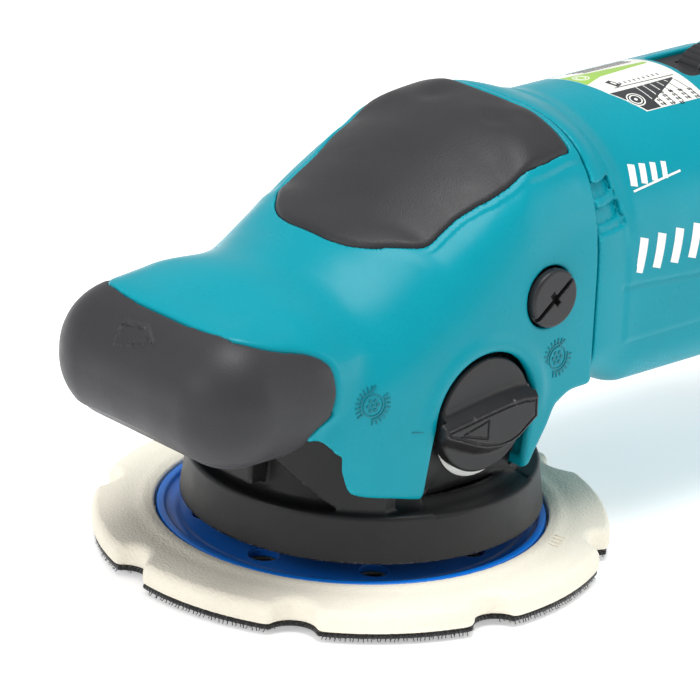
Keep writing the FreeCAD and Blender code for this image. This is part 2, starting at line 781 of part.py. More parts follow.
def barrel_section(inset, start, end):
    """Round top on flat flanks, with rounded lower corners."""
    radius = barrel_radius.number - inset
    centre = barrel_centre.number
    floor = barrel_bottom.number + inset
    corner = 12 - inset * 0.6
    a = V(radius, start, centre)
    b = V(-radius, start, centre)
    top = Part.Arc(a, V(0, start, centre + radius), b).toShape()
    c = V(-radius, start, floor + corner)
    d = V(-radius + corner, start, floor)
    bend = corner * (1 - math.sqrt(0.5))
    left = Part.Arc(c, V(-radius + bend, start, floor + bend), d).toShape()
    e = V(radius - corner, start, floor)
    f = V(radius, start, floor + corner)
    right = Part.Arc(e, V(radius - bend, start, floor + bend), f).toShape()
    wire = Part.Wire([top, Part.makeLine(b, c), left, Part.makeLine(d, e), right, Part.makeLine(f, a)])
    return Part.Face(wire).extrude(V(0, end - start, 0))


def make_barrel():
    start = seam.number + 0.02
    end = barrel_end.number
    outer = barrel_section(0, start, end)
    outer = fused(outer, dome_ring(start))
    inner = barrel_section(3, start + 4, end + 1)
    shell = outer.cut(inner)
    bridge = barrel_section(2.9, 136, 140)
    for i in range(6):
        angle = math.radians(30 + 60 * i)
        vent = V(24 * math.cos(angle), 130, APEX.number + 24 * math.sin(angle))
        bridge = bridge.cut(Part.makeCylinder(8, 20, vent, V(0, 1, 0)))
    bridge = bridge.cut(motor_rod(11.02, 130, 150)).cut(slab((-9.6, 130, 100), (9.6, 150, 125)))
    cradle = motor_rod(stator_radius.number + 2.2, 76, 108).cut(motor_rod(stator_radius.number + 0.02, 70, 120))
    ribs = slab((-40.5, 78, 82.6), (40.5, 106, 85.4)).cut(motor_rod(stator_radius.number + 0.02, 70, 120))
    shell = shell.fuse([bridge, cradle, ribs]).cut(motor_rod(20, start - 5, start + 15))
    for x in (-COLLAR_SCREW, COLLAR_SCREW):
        for up in (-COLLAR_SCREW, COLLAR_SCREW):
            shell = shell.cut(Part.makeCylinder(2, 9, V(x, start - 4, APEX.number + up), V(0, 1, 0)))
    recess = Part.makeBox(19, 36, 30, V(-9.5, 114, 104))
    shell = shell.cut(recess)
    for side in (-1, 1):
        for row in range(2):
            low = 99 + 7.5 * row
            shell = shell.cut(Part.makeBox(40, 9, 3.4, V(side * 50 - 20, 49, low)))
        for row in range(5):
            shell = shell.cut(Part.makeBox(20, 3, 24, V(side * 46 - 10, 126 + 5 * row, 64)))
    node("motor_housing", feature(biggest(shell)))


def motor_rod(radius, start, end):
    """Cylinder on the motor axis between two stations."""
    return Part.makeCylinder(radius, end - start, V(0, start, APEX.number), V(0, 1, 0))


def dome_ring(start):
    """Raised collar behind the seam that slopes down to the barrel."""
    wires = [arch(start, 126.7, 44.3, 50, 3.05), arch(start + 4, 126, 44.2, 50, 3.0),
             arch(start + 24, 121.2, 42.7, 50, 2.1)]
    return Part.makeLoft(wires, True, False)


def make_motor():
    node("motor_bearings", group(
        bearing(as_size(3.5) + running, 13, 8, (0, 33, APEX), "y"),
        bearing(as_size(3.5) + running, 11, 7, (0, 134, APEX), "y")))
    shaft = turned([
        (0, 14), (3.5, 14), (3.5, 44), (5, 44), (5, 131), (3.5, 131), (3.5, 143), (0, 143),
    ], (0, 0, APEX), "y")
    node("rotor_shaft", shaft)
    node("rotor_core", turned([(5.02, 72), (15, 72), (15, 112), (5.02, 112)], (0, 0, APEX), "y"))
    magnets = []
    for i in range(6):
        arc = cut(cylinder(17, 38, (0, 73, APEX), "y", 52), cylinder(15.02, 60, (0, 60, APEX), "y"))
        doc.recompute()
        arc.Placement = FreeCAD.Placement(V(0, 0, 0), FreeCAD.Rotation(V(0, 1, 0), 60 * i), V(0, 73, APEX.number))
        magnets.append(arc)
    node("rotor_magnets", group(*magnets))

    hub = turned([(5.02, 50), (9, 50), (28, 56), (28, 57.6), (9, 57.6), (9, 62), (5.02, 62)], (0, 0, APEX), "y")
    blades = []
    for i in range(9):
        blade = box((9.5, 57, APEX - 0.8), (27.5, 66, APEX + 0.8))
        doc.recompute()
        turn = FreeCAD.Rotation(V(0, 1, 0), 40 * i)
        middle = V(0, 0, APEX.number)
        base = blade.Placement.Base
        for letter in "xyz":
            blade.setExpression(f"Placement.Base.{letter}", None)
        blade.Placement = FreeCAD.Placement(middle + turn.multVec(base - middle), turn)
        blades.append(blade)
    node("cooling_fan", fuse(hub, *blades))
    node("fan_baffle", turned([
        (22, 67.2), (33.4, 67.2), (33.4, 69), (23, 69), (22, 68.4),
    ], (0, 0, APEX), "y"))

    core = turned([
        (24, 74), (stator_radius, 74), (stator_radius, 110), (24, 110),
    ], (0, 0, APEX), "y")
    teeth = []
    coils = []
    for i in range(6):
        teeth.append(swing(box((17.8, 74, APEX - 3), (25, 110, APEX + 3)), 60 * i + 30))
        wound = box((18.6, 71, APEX - 5.4), (23.1, 113, APEX + 5.4))
        loop = cut(wound, box((17, 73.9, APEX - 3.05), (25, 110.1, APEX + 3.05)))
        coils.append(swing_feature(loop, 60 * i + 30))
    node("stator_core", fuse(core, *teeth))
    node("stator_coils", group(*coils))


def swing(block, angle):
    """Turn a block about the motor axis."""
    doc.recompute()
    turn = FreeCAD.Rotation(V(0, 1, 0), angle)
    middle = V(0, 0, APEX.number)
    base = block.Placement.Base
    for letter in "xyz":
        block.setExpression(f"Placement.Base.{letter}", None)
    block.Placement = FreeCAD.Placement(middle + turn.multVec(base - middle), turn)
    return block


def swing_feature(thing, angle):
    doc.recompute()
    thing.Placement = FreeCAD.Placement(V(0, 0, 0), FreeCAD.Rotation(V(0, 1, 0), angle), V(0, 0, APEX.number))
    return thing


# ---- handle -------------------------------------------------------------------------

TRIGGER_PIVOT = (181, 60)
LOCK_BUTTON = (178, 80)
DIAL = (132, 114.6)
# Radial play of a screw or pin in its hole.
FIT = 0.03
HANDLE_SCREWS = [(170, 64), (170, 108), (254, 66), (258, 108)]


def oval(y, half_width, low, high, power):
    """Closed superelliptic cross-section of the handle."""
    centre = (low + high) / 2
    points = []
    steps = 36
    for i in range(steps):
        angle = 2 * math.pi * i / steps
        across = math.copysign(abs(math.cos(angle)) ** (2 / power), math.cos(angle))
        up = math.copysign(abs(math.sin(angle)) ** (2 / power), math.sin(angle))
        points.append(V(half_width * across, y, centre + (high - low) / 2 * up))
    curve = Part.BSplineCurve()
    curve.interpolate(points, PeriodicFlag=True)
    return Part.Wire([curve.toShape()])


def handle_form(inset, start, end):
    """Barrel end narrowing to the hand grip and flaring to the battery mount."""
    back = handle_end.number
    stations = [
        (barrel_end.number, 43, 45, 123, 3.4), (168, 37, 51, 119, 2.9), (184, 32.5, 56.5, 114, 2.5),
        (215, 31, 58, 112.5, 2.4), (244, 32, 57, 114, 2.5), (264, 36.5, 47, 123, 3.0), (back, 38.5, 36, 134, 3.6),
    ]
    wires = [oval(y, w - inset, low + inset, high - inset, power) for y, w, low, high, power in stations]
    form = Part.makeLoft(wires, True, False)
    return form.common(Part.makeBox(200, end - start, 300, V(-100, start, -50)))


def rod(radius, start, end, y, z):
    """Cylinder along X between two X positions."""
    return Part.makeCylinder(radius, end - start, V(start, y, z), V(1, 0, 0))


def make_handle():
    front = barrel_end.number + 0.02
    back = handle_end.number
    wall = shell_wall.number
    outer = handle_form(0, front, back)
    shell = outer.cut(handle_form(wall, front - 1, back - wall))
    for y, z in HANDLE_SCREWS:
        shell = shell.fuse(rod(5.6, -60, 60, y, z).common(outer))
    for side in (-1, 1):
        rail = slab((20, back - 1, 40), (24, back + 6, 110))
        rail = rail.fuse(slab((24, back + 3, 40), (27, back + 6, 110)))
        if side < 0:
            rail = rail.mirror(V(0, 0, 0), V(1, 0, 0))
        shell = shell.fuse(rail)
    shell = shell.cut(slab((-9.6, 177, 40), (9.6, 239, 66)))
    shell = shell.cut(slab((-14.2, 270, 51.8), (14.2, 290, 96.2)))
    shell = shell.cut(slab((-10.4, back - wall - 0.1, 121), (10.4, back + 1, 140)))
    shell = shell.cut(rod(5.8, 20, 60, *LOCK_BUTTON))
    shell = shell.cut(rod(2 + FIT, -13, 13, *TRIGGER_PIVOT))
    for y, z in HANDLE_SCREWS:
        shell = shell.cut(rod(1.9 + FIT, -16, 60, y, z)).cut(rod(4.4, 24, 60, y, z))
    for row in range(4):
        for side in (-1, 1):
            shell = shell.cut(slab((side * 40 - 12, 154.5 + 4.5 * row, 86), (side * 40 + 12, 156.7 + 4.5 * row, 104)))
    band = outer.cut(handle_form(2, front - 1, back + 1)).common(slab((-60, 186, 30), (60, 248, 140)))
    band = band.cut(slab((-9.6, 177, 40), (9.6, 239, 66)))
    shell = shell.cut(band)
    halves = {"handle_left": slab((0.0, 100, 0), (80, 300, 200)), "handle_right": slab((-80, 100, 0), (0.0, 300, 200))}
    grips = []
    for label, side in halves.items():
        node(label, feature(biggest(shell.common(side))))
        grips.append(feature(biggest(band.common(side))))
    node("handle_grip", group(*grips))

    screws = []
    for y, z in HANDLE_SCREWS:
        screws.append(screw(4, 2.4, 1.9, 38, (-14, y, z), "x"))
    node("handle_screws", group(*screws))


def make_controls():
    y, z = TRIGGER_PIVOT
    paddle = rounded(box((-9, 177.6, 49.5), (9, 238.4, 64)), 3, lambda p: p.z < 50 or abs(p.z - 56.75) < 0.1)
    finger = cylinder(26, 30, (-15, 214, 30.5), "x")
    hollow = cut(box((-7, 186, 53), (7, 236, 65)), box((-8, 205, 60), (8, 222, 66)))
    node("trigger", cut(paddle, finger, hollow, cylinder(2.06, 30, (-15, y, z), "x")))
    node("trigger_pin", cylinder(2, 26, (-13, y, z), "x"))
    node("trigger_switch", fuse(box((-10, 190, 76), (10, 228, 97)), cylinder(2.4, 5, (0, 214, 71.4))))

    y, z = LOCK_BUTTON
    cap = turned([(0, 0), (6.8, 0), (6.8, 2), (5.4, 2), (5.4, 10.6), (4.6, 11.4), (0, 11.4)], (26.2, y, z), "x")
    node("lock_button", cap)

    y, z = DIAL
    node("speed_dial", cut(
        turned([(2.05, -4.5), (10.4, -4.5), (11, -3.9), (11, 3.9), (10.4, 4.5), (2.05, 4.5)], (0, y, z), "x"),
        *[swing_about(box((-5, y - 0.5, z + 10.3), (5, y + 0.5, z + 12)), 15 * i, V(0, y, z)) for i in range(24)]))
    tray = box((-9.3, 114.2, 102.6), (9.3, 149.8, 121))
    well = cylinder(11.5, 9.8, (-4.9, y, z), "x")
    spindle = cylinder(2, 12, (-6, y, z), "x")
    node("dial_carrier", fuse(cut(tray, well), spindle))

    node("controller", box((-30, 145.6, 54), (30, 155, 98)))
    fins = [box((-26 + 6.25 * i, 157, 58), (-24 + 6.25 * i, 163, 96)) for i in range(9)]
    node("heat_sink", fuse(box((-26, 155.05, 58), (26, 157.2, 96)), *fins))
    node("terminal_block", fuse(box((-14, 264, 53), (14, 275.8, 102)), box((-13.8, 275, 53), (13.8, 284, 96))))
    leads = [cylinder(1.6, 100.6, (x, 163.2, 100), "y") for x in (-9, -3, 3, 9)]
    for angle in (30, 150, 270):
        x = 24 * math.cos(math.radians(angle))
        up = APEX + 24 * math.sin(math.radians(angle))
        leads.append(cylinder(1.5, 32.4, (x, 113.2, up), "y"))
    node("lead_wires", group(*leads))

    skin = cut(
        cylinder(barrel_radius + 0.3, 24, (0, 88, barrel_centre), "y"),
        cylinder(barrel_radius + 0.02, 30, (0, 85, barrel_centre), "y"))
    node("speed_label", common(skin, box((-18, 80, 100), (15.6, 120, 130))))

    offset = COLLAR_SCREW
    bolts = [screw(3.6, 2.4, 2, 9, (x, 50, APEX + up), "y", True)
             for x in (-offset, offset) for up in (-offset, offset)]
    node("housing_screws", group(*bolts))
    bolts = []
    for i in range(4):
        angle = math.radians(45 + 90 * i)
        bolts.append(screw(3.4, 2.4, 1.6, 12, (36 * math.cos(angle), 36 * math.sin(angle), 52)))
    node("case_screws", group(*bolts))


def swing_about(block, angle, middle):
    """Turn a block about an axis along X."""
    doc.recompute()
    turn = FreeCAD.Rotation(V(1, 0, 0), angle)
    base = block.Placement.Base
    for letter in "xyz":
        block.setExpression(f"Placement.Base.{letter}", None)
    block.Placement = FreeCAD.Placement(middle + turn.multVec(base - middle), turn)
    return block


# ---- battery ------------------------------------------------------------------------

def make_battery():
    front = handle_end + 0.5
    split = front + 20.5
    back = front + battery_depth
    side = battery_width / 2
    low = battery_bottom
    high = battery_bottom + battery_length

    def corner(point):
        return abs(abs(point.x) - side.number) < 0.01 and (
            abs(point.z - low.number) < 0.01 or abs(point.z - high.number) < 0.01)

    cover = rounded(box((-side, front, low), (side, split, high)), 7, corner)
    channel = box((-16, front - 1, low - 1), (16, front + 9.5, 100))
    grooves = []
    for sign in (-1, 1):
        for near, far, start in ((19.6, 24.4, -1), (23.9, 27.4, 2.1)):
            ends = sorted((sign * near, sign * far))
            grooves.append(box((ends[0], front + start, low - 1), (ends[1], front + 6.0, 110.4)))
    hollow = box((3 - side, front + 12.5, low + 3), (side - 3, split + 1, 122))
    latch_well = box((-17.5, front + 3.5, 126), (17.5, front + 16.5, high + 1))
    tongue_slot = box((-10, front - 1, 126), (10, front + 4, high + 1))
    node("battery_cover", cut(cover, channel, *grooves, hollow, latch_well, tongue_slot))

    case = rounded(box((-side, split, low), (side, back, high)), 7, corner)
    inside = box((2.5 - side, split - 1, low + 2.5), (side - 2.5, back - 2.5, high - 2.5))
    button_hole = cylinder(3.4, 6, (12, back - 4, 58), "y")
    node("battery_case", cut(case, inside, button_hole))

    cells = []
    for layer in range(2):
        for row in range(5):
            place_y = split + 10 + 18.6 * layer
            cells.append(cylinder(9.15, 65, (-32.5, place_y, battery_bottom + 19 + 19 * row), "x"))
    node("battery_cells", group(*cells))
    node("battery_terminals", box((-14, front + 12.55, 40), (14, front + 19, 90)))

    button = box((-17, front + 4, 131), (17, front + 16, high + 0.6))
    tongue = box((-9.6, front - 2.8, 131), (9.6, front + 4.5, 136))
    node("battery_latch", fuse(rounded(button, 1.5, lambda p: p.z > high.number), tongue))
    node("charge_button", cylinder(3.1, 3.2, (12, back - 2.5, 58), "y"))


# ---- build, check and write ---------------------------------------------------------

def write_parts():
    doc.recompute()
    for thing in doc.Objects:
        if "Invalid" in thing.State or "Error" in thing.State:
            raise ValueError(f"{thing.Name} failed: {thing.State}")
    os.makedirs("parts", exist_ok=True)
    for thing in NODES:
        shape = thing.Shape
        if shape.isNull() or not shape.isValid() or not shape.Solids:
            raise ValueError(f"{thing.Label} has no valid solid")
        print(f"{thing.Label}: {len(shape.Solids)} solids, {shape.Volume / 1000:.2f} cm3")
        shape.exportStep(f"parts/{thing.Label}.step")


make_pad()
make_pad_spindle()
make_crank()
make_bevel_gears()
make_gear_case()
make_ring_gear()
make_mode_knob()
head_shell = make_head()
node("skirt", feature(biggest(shape_of(make_skirt()).cut(head_shell))))
make_plugs()
make_barrel()
make_motor()
make_handle()
make_controls()
make_battery()
write_parts()
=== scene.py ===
import math
from functools import reduce

import bmesh
import bpy
import numpy as np
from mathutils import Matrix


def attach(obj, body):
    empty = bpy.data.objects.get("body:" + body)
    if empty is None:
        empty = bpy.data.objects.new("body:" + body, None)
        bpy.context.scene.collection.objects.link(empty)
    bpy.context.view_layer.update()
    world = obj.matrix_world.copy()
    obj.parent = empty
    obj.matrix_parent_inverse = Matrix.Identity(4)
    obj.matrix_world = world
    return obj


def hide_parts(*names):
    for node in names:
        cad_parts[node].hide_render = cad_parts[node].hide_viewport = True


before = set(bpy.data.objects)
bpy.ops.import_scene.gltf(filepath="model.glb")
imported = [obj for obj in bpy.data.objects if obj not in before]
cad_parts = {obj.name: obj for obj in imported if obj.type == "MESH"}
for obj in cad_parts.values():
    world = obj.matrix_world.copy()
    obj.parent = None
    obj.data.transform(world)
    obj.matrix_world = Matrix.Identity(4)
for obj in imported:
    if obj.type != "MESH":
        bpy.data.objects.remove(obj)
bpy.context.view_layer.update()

import openvdb
from mathutils import Matrix, Vector

MM = 0.001

# Every form below is a distance field in millimetres, negative inside, in the row frame.


# ---- field kit ----------------------------------------------------------------------

def curve(t, knots, values):
    """Smooth monotone interpolation through a few given points."""
    knots = np.asarray(knots, float)
    values = np.asarray(values, float)
    step = np.diff(knots)
    slope = np.diff(values) / step
    tangent = np.zeros(len(knots))
    same = slope[:-1] * slope[1:] > 0
    mean = 2 * slope[:-1] * slope[1:] / np.where(same, slope[:-1] + slope[1:], 1)
    tangent[1:-1] = np.where(same, mean, 0)
    tangent[0] = slope[0]
    tangent[-1] = slope[-1]
    t = np.clip(t, knots[0], knots[-1])
    i = np.clip(np.searchsorted(knots, t) - 1, 0, len(step) - 1)
    u = (t - knots[i]) / step[i]
    return ((1 + 2 * u) * (1 - u) ** 2 * values[i] + u * (1 - u) ** 2 * step[i] * tangent[i]
            + u * u * (3 - 2 * u) * values[i + 1] + u * u * (u - 1) * step[i] * tangent[i + 1])


def ease(t, low, high):
    """0 below low, 1 above high, smooth between."""
    u = np.clip((t - low) / (high - low), 0, 1)
    return u * u * (3 - 2 * u)


def join(a, b, blend):
    """Union with a fillet of about the blend size."""
    h = np.maximum(blend - np.abs(a - b), 0) / blend
    return np.minimum(a, b) - h * h * blend / 4


def meet(a, b, blend):
    """Intersection with a rounded edge."""
    return -join(-a, -b, blend)


def carve(a, b, blend):
    """Subtraction with a rounded edge."""
    return meet(a, -b, blend)


def within(*fields):
    """Sharp-edged intersection."""
    return reduce(np.maximum, fields)


def cut(a, b):
    """Sharp-edged subtraction."""
    return np.maximum(a, -b)


def rounded_box(p, centre, half, radius):
    q = np.abs(p - np.asarray(centre, float)) - (np.asarray(half, float) - radius)
    return np.linalg.norm(np.maximum(q, 0), axis=1) + np.minimum(q.max(axis=1), 0) - radius


def slab_2d(a, b, centre, half, radius):
    """Rounded rectangle in two coordinates."""
    qa = np.abs(a - centre[0]) - (half[0] - radius)
    qb = np.abs(b - centre[1]) - (half[1] - radius)
    return quadrant(qa, qb) - radius


def quadrant(a, b):
    """Distance to the corner where two half-planes meet, rounded outside it."""
    return np.hypot(np.maximum(a, 0), np.maximum(b, 0)) + np.minimum(np.maximum(a, b), 0)


def disc(a, b, t, radius, low, high, edge):
    """Round slab: a, b are measured from its axis and t along it."""
    r = np.hypot(a, b) - (radius - edge)
    h = np.abs(t - (low + high) / 2) - ((high - low) / 2 - edge)
    return quadrant(r, h) - edge


def polygon_2d(a, b, corners):
    """Signed distance to a closed outline in two coordinates."""
    corners = np.asarray(corners, float)
    best = np.full(len(a), 1e9)
    sign = np.ones(len(a))
    for i in range(len(corners)):
        ax, ay = corners[i]
        bx, by = corners[i - 1]
        ex, ey = bx - ax, by - ay
        wx, wy = a - ax, b - ay
        t = np.clip((wx * ex + wy * ey) / (ex * ex + ey * ey), 0, 1)
        best = np.minimum(best, (wx - ex * t) ** 2 + (wy - ey * t) ** 2)
        first = b >= ay
        second = b < by
        third = ex * wy > ey * wx
        sign = np.where((first & second & third) | (~first & ~second & ~third), -sign, sign)
    return sign * np.sqrt(best)


def wrap(angle, count, start=0.0):
    """Fold an angle into one of count equal sectors about start."""
    sector = 2 * math.pi / count
    return (angle - start + sector / 2) % sector - sector / 2


# ---- head ---------------------------------------------------------------------------

SEAM = 46.3
WALL = 3.0
MOTOR = 84.0
KNOB = (4.2, 52.6)
KNOB_FACE = 45.2
LEVER_RISE = 4.2
PLUG = (27.0, 83.0)
PAD_TURN = math.radians(205)
PAD = (2.75 * math.cos(PAD_TURN), 2.75 * math.sin(PAD_TURN))


def arch_gap(p, half, top, shoulder, power):
    """Distance to straight legs under a superelliptic top."""
    rise = np.maximum(p[:, 2] - shoulder, 0)
    across = np.abs(p[:, 0])
    norm = ((across / half) ** power + (rise / (top - shoulder)) ** power) ** (1 / power)
    over = np.hypot(across, rise) * (1 - 1 / np.maximum(norm, 0.05))
    return np.where(p[:, 2] > shoulder, over, across - half)


def dome(p):
    x, y, z = p.T
    top = curve(y, [-95, -80, -60, -45, -30, -17, -8, 5, 25, 40, 46.3],
                [88, 91, 92, 94.2, 98.4, 106, 112.5, 121, 127.5, 128, 126.7])
    half = curve(y, [-95, -74, -60, -45, -20, 10, 46.3], [30, 34, 37, 41.5, 44.8, 45.8, 44.3])
    power = curve(y, [-95, -50, -10, 20, 46.3], [2.0, 1.9, 2.2, 2.7, 3.05])
    shoulder = curve(y, [-95, -50, 0, 46.3], [62, 62, 72, 78])
    d = np.maximum(arch_gap(p, half, top, shoulder, power), -40)
    roof = curve(y, [-40, -30, -22, -16, 0, 16, 31, 43, 47],
                 [98.2, 99.8, 100.9, 102.2, 110.6, 119.2, 124.4, 126.6, 127.8])
    fall = 1.8 + 2.6 * ease(y, -18, -6) * (1 - ease(y, 18, 32))
    return meet(d, (z - roof - 1.8 + fall * (x / 24) ** 2) * 0.85, 2.4)


def grip_bar(p):
    return rounded_box(p, (0, -64, 67.8), (41.1, 26.5, 20.3), 19.4)


def underside(p):
    """Lower outline of the side walls, seen from the side."""
    knots = [-60, -56.4, -46, -42.2, -27.5, -14, 4, 22, 25, 29, 33, 40, 47]
    values = [58.5, 58.5, 43.8, 38.3, 34.1, 31.2, 30, 32.6, 36.5, 42.5, 49, 51.6, 51.6]
    low = curve(p[:, 1], knots, values)
    slope = (curve(p[:, 1] + 0.5, knots, values) - curve(p[:, 1] - 0.5, knots, values))
    return (low - p[:, 2]) / np.sqrt(1 + slope * slope)


def head(p):
    y, z = p[:, 1], p[:, 2]
    d = meet(dome(p), -(y + 66), 20)
    d = meet(d, y - SEAM, 0.9)
    d = meet(d, underside(p), 2.2)
    return join(d, grip_bar(p), curve(z, [60, 78], [2.5, 14]))


def opening(p):
    """Arched window round the mode knob; wider towards its foot."""
    y, z = p[:, 1] - 4.15, p[:, 2] - 53.0
    drop = np.maximum(-z, 0)
    foot = np.maximum(-y - 18.2 - 0.17 * drop, y - 18.2 + 0.12 * drop)
    d = np.where(z > 0, np.hypot(y, z) - 18.2, foot)
    return np.maximum(d, 24 - p[:, 0])


def cap_outline(p):
    """Plan of the crown cap."""
    x, y = np.abs(p[:, 0]), p[:, 1]
    nose = curve(x, [0, 6, 12.5, 18.5, 24.6, 30.2, 36], [-25, -25, -23.8, -21, -15.5, -9.2, -1])
    side = curve(y, [-9, 1.5, 8, 14, 30, 44], [30.4, 30.3, 31.5, 33, 33.8, 33])
    d = meet((nose - y) * 0.75, x - side, 3)
    return np.maximum(meet(d, y - 43.4, 2), 88 - p[:, 2])


def grip_outline(p):
    """Region of the soft front grip."""
    x, y, z = np.abs(p[:, 0]), p[:, 1], p[:, 2]
    width = curve(y, [-80, -77.6, -76.6, -75, -67.5, -57, -50.5, -47, -44],
                  [3, 14, 21, 27, 32.6, 36.3, 39.2, 41.8, 46])
    tongue = np.maximum(meet((x - width) * 0.75, -77.4 - y, 3), 66 - z)
    side = curve(z, [50, 58, 60, 65, 70, 76], [-57, -56, -54.6, -48.8, -47.4, -47])
    return carve((y - side) * 0.8, tongue, 4)


def under_grip(p):
    """Where the front wall is cut away behind the grip."""
    x, y, z = p.T
    return np.maximum(meet(np.abs(x) - 40.6, z - 57.5, 9), y + 26)


def head_cover(p):
    """The teal shell."""
    x, y, z = p.T
    body = head(p)
    gate = opening(p)
    lip = np.exp(-((gate - 2.8) / 2.6) ** 2) * ease(z, 44, 60) * ease(x, 36, 42)
    rim = cap_outline(p)
    ledge = (1 - ease(rim, 2.0, 2.9)) * ease(y, -12, -4)
    d = body - 0.9 * lip - 0.45 * ledge
    d = cut(d, body + WALL)
    d = carve(d, gate, 1.5)
    d = carve(d, under_grip(p), 0.8)
    d = carve(d, np.maximum(np.hypot(y - PLUG[0], z - PLUG[1]) - 9.1, 30 - np.abs(x)), 0.8)
    d = carve(d, cut(rim - 0.05, body + 2.25), 1.0)
    d = carve(d, grip_outline(p) - 0.05, 1.0)
    d = carve(d, np.maximum(np.hypot(x, z - MOTOR) - 30.5, 40 - y), 0.6)
    return d


def front_grip(p):
    x, y, z = p.T
    body = head(p)
    crease = 0.55 * (1 - ease(z - 0.10 * (y + 64) + 0.0025 * x * x, 56.5, 58.5))
    mark = polygon_2d(x, z, [(-7.1, 78.3), (-8.8, 83.3), (-0.4, 84.2), (5.6, 81.8)])
    front = ease(-y, 70, 74)
    groove = (0.45 * (1 - ease(np.abs(mark), 0.2, 0.75)) + 0.35 * (mark < 0)) * front
    d = meet(body + crease - groove, grip_outline(p), 1.5)
    return cut(d, body + WALL)


def top_cap(p):
    x, y, z = p.T
    body = head(p)
    rim = cap_outline(p)
    peak = 0.9 * np.exp(-(((np.abs(x) - 17) / 6) ** 2 + ((y - 39) / 4.5) ** 2))
    dent = 0.8 * np.exp(-(((np.abs(x) - 13) / 5) ** 2 + ((y - 32) / 3.5) ** 2))
    d = meet(body - 0.55 - peak + dent, rim, 1.6)
    return cut(d, body + 2.15)


# ---- motor barrel -------------------------------------------------------------------

BARREL = 43.0
BARREL_AXIS = 80.0
BARREL_FOOT = 45.0
BARREL_CORNER = 12.0
COLLAR_FOOT = 51.0


def barrel_form(p):
    x, z = np.abs(p[:, 0]), p[:, 2]
    upper = np.hypot(x, z - BARREL_AXIS) - BARREL
    lower = quadrant(x - (BARREL - BARREL_CORNER), BARREL_FOOT + BARREL_CORNER - z) - BARREL_CORNER
    return np.where(z > BARREL_AXIS, upper, lower)


def motor_housing(p):
    x, y, z = p.T
    barrel = barrel_form(p)
    foot = quadrant(np.abs(x) - 32.3, COLLAR_FOOT + BARREL_CORNER - z) - BARREL_CORNER
    collar = np.maximum(arch_gap(p, 44.3, 126.7, 78, 3.05), foot)
    t = ease(y, 47.5, 66)
    body = collar * (1 - t) + barrel * t
    side = np.abs(x)
    # raised panel over the flank, with a stepped lower edge
    flank = ease(y, 58, 61) * ease(z, 60.5, 62.5) * (1 - ease(y, 140, 146))
    body = body - 0.5 * flank
    line = np.exp(-(z - 78.5 + 0.075 * (y - 57)) ** 2) * ease(y, 57, 59) * (1 - ease(y, 138, 141))
    body = body + 0.6 * line * (side > 36)
    d = meet(body, 46.85 - y, 0.6)
    d = meet(d, y - 151.95, 0.6)
    inner = np.maximum(body + WALL, 50.5 - y)
    d = cut(d, inner)
    d = cut(d, np.maximum(np.hypot(x, z - MOTOR) - 20, y - 60))
    # two stepped air outlets each side, just behind the seam
    for low, deep in ((99.2, 58.5), (106.4, 56.5)):
        step = slab_2d(y, z, (50.0, low + 2.2), (deep - 50.0, 2.2), 0.9)
        d = carve(d, within(step, 30 - side, -(body + 2.0)), 1.0)
        ledge = slab_2d(y, z, (50.0, low - 1.2), (deep - 49.0, 1.4), 0.9)
        d = carve(d, within(ledge, 30 - side, -(body + 0.9)), 0.9)
    # recess for the speed dial
    well = slab_2d(x, y, (0, 132), (9.8, 18), 2.4)
    d = carve(d, np.maximum(well, 100 - z), 1.0)
    # baffles standing behind the intake slots
    baffle = rounded_box(p, (0, 137.5, 78), (37.2, 14.5, 20), 1.0)
    baffle = np.maximum(baffle, 35.6 - side)
    d = join(d, baffle, 0.8)
    # intake slots near the back
    for row in range(5):
        slot = slab_2d(y, z, (127.5 + 5 * row, 76), (1.5, 12), 1.4)
        d = carve(d, np.maximum(slot, 37.6 - side), 0.5)
    return d


# ---- shroud and knob ----------------------------------------------------------------

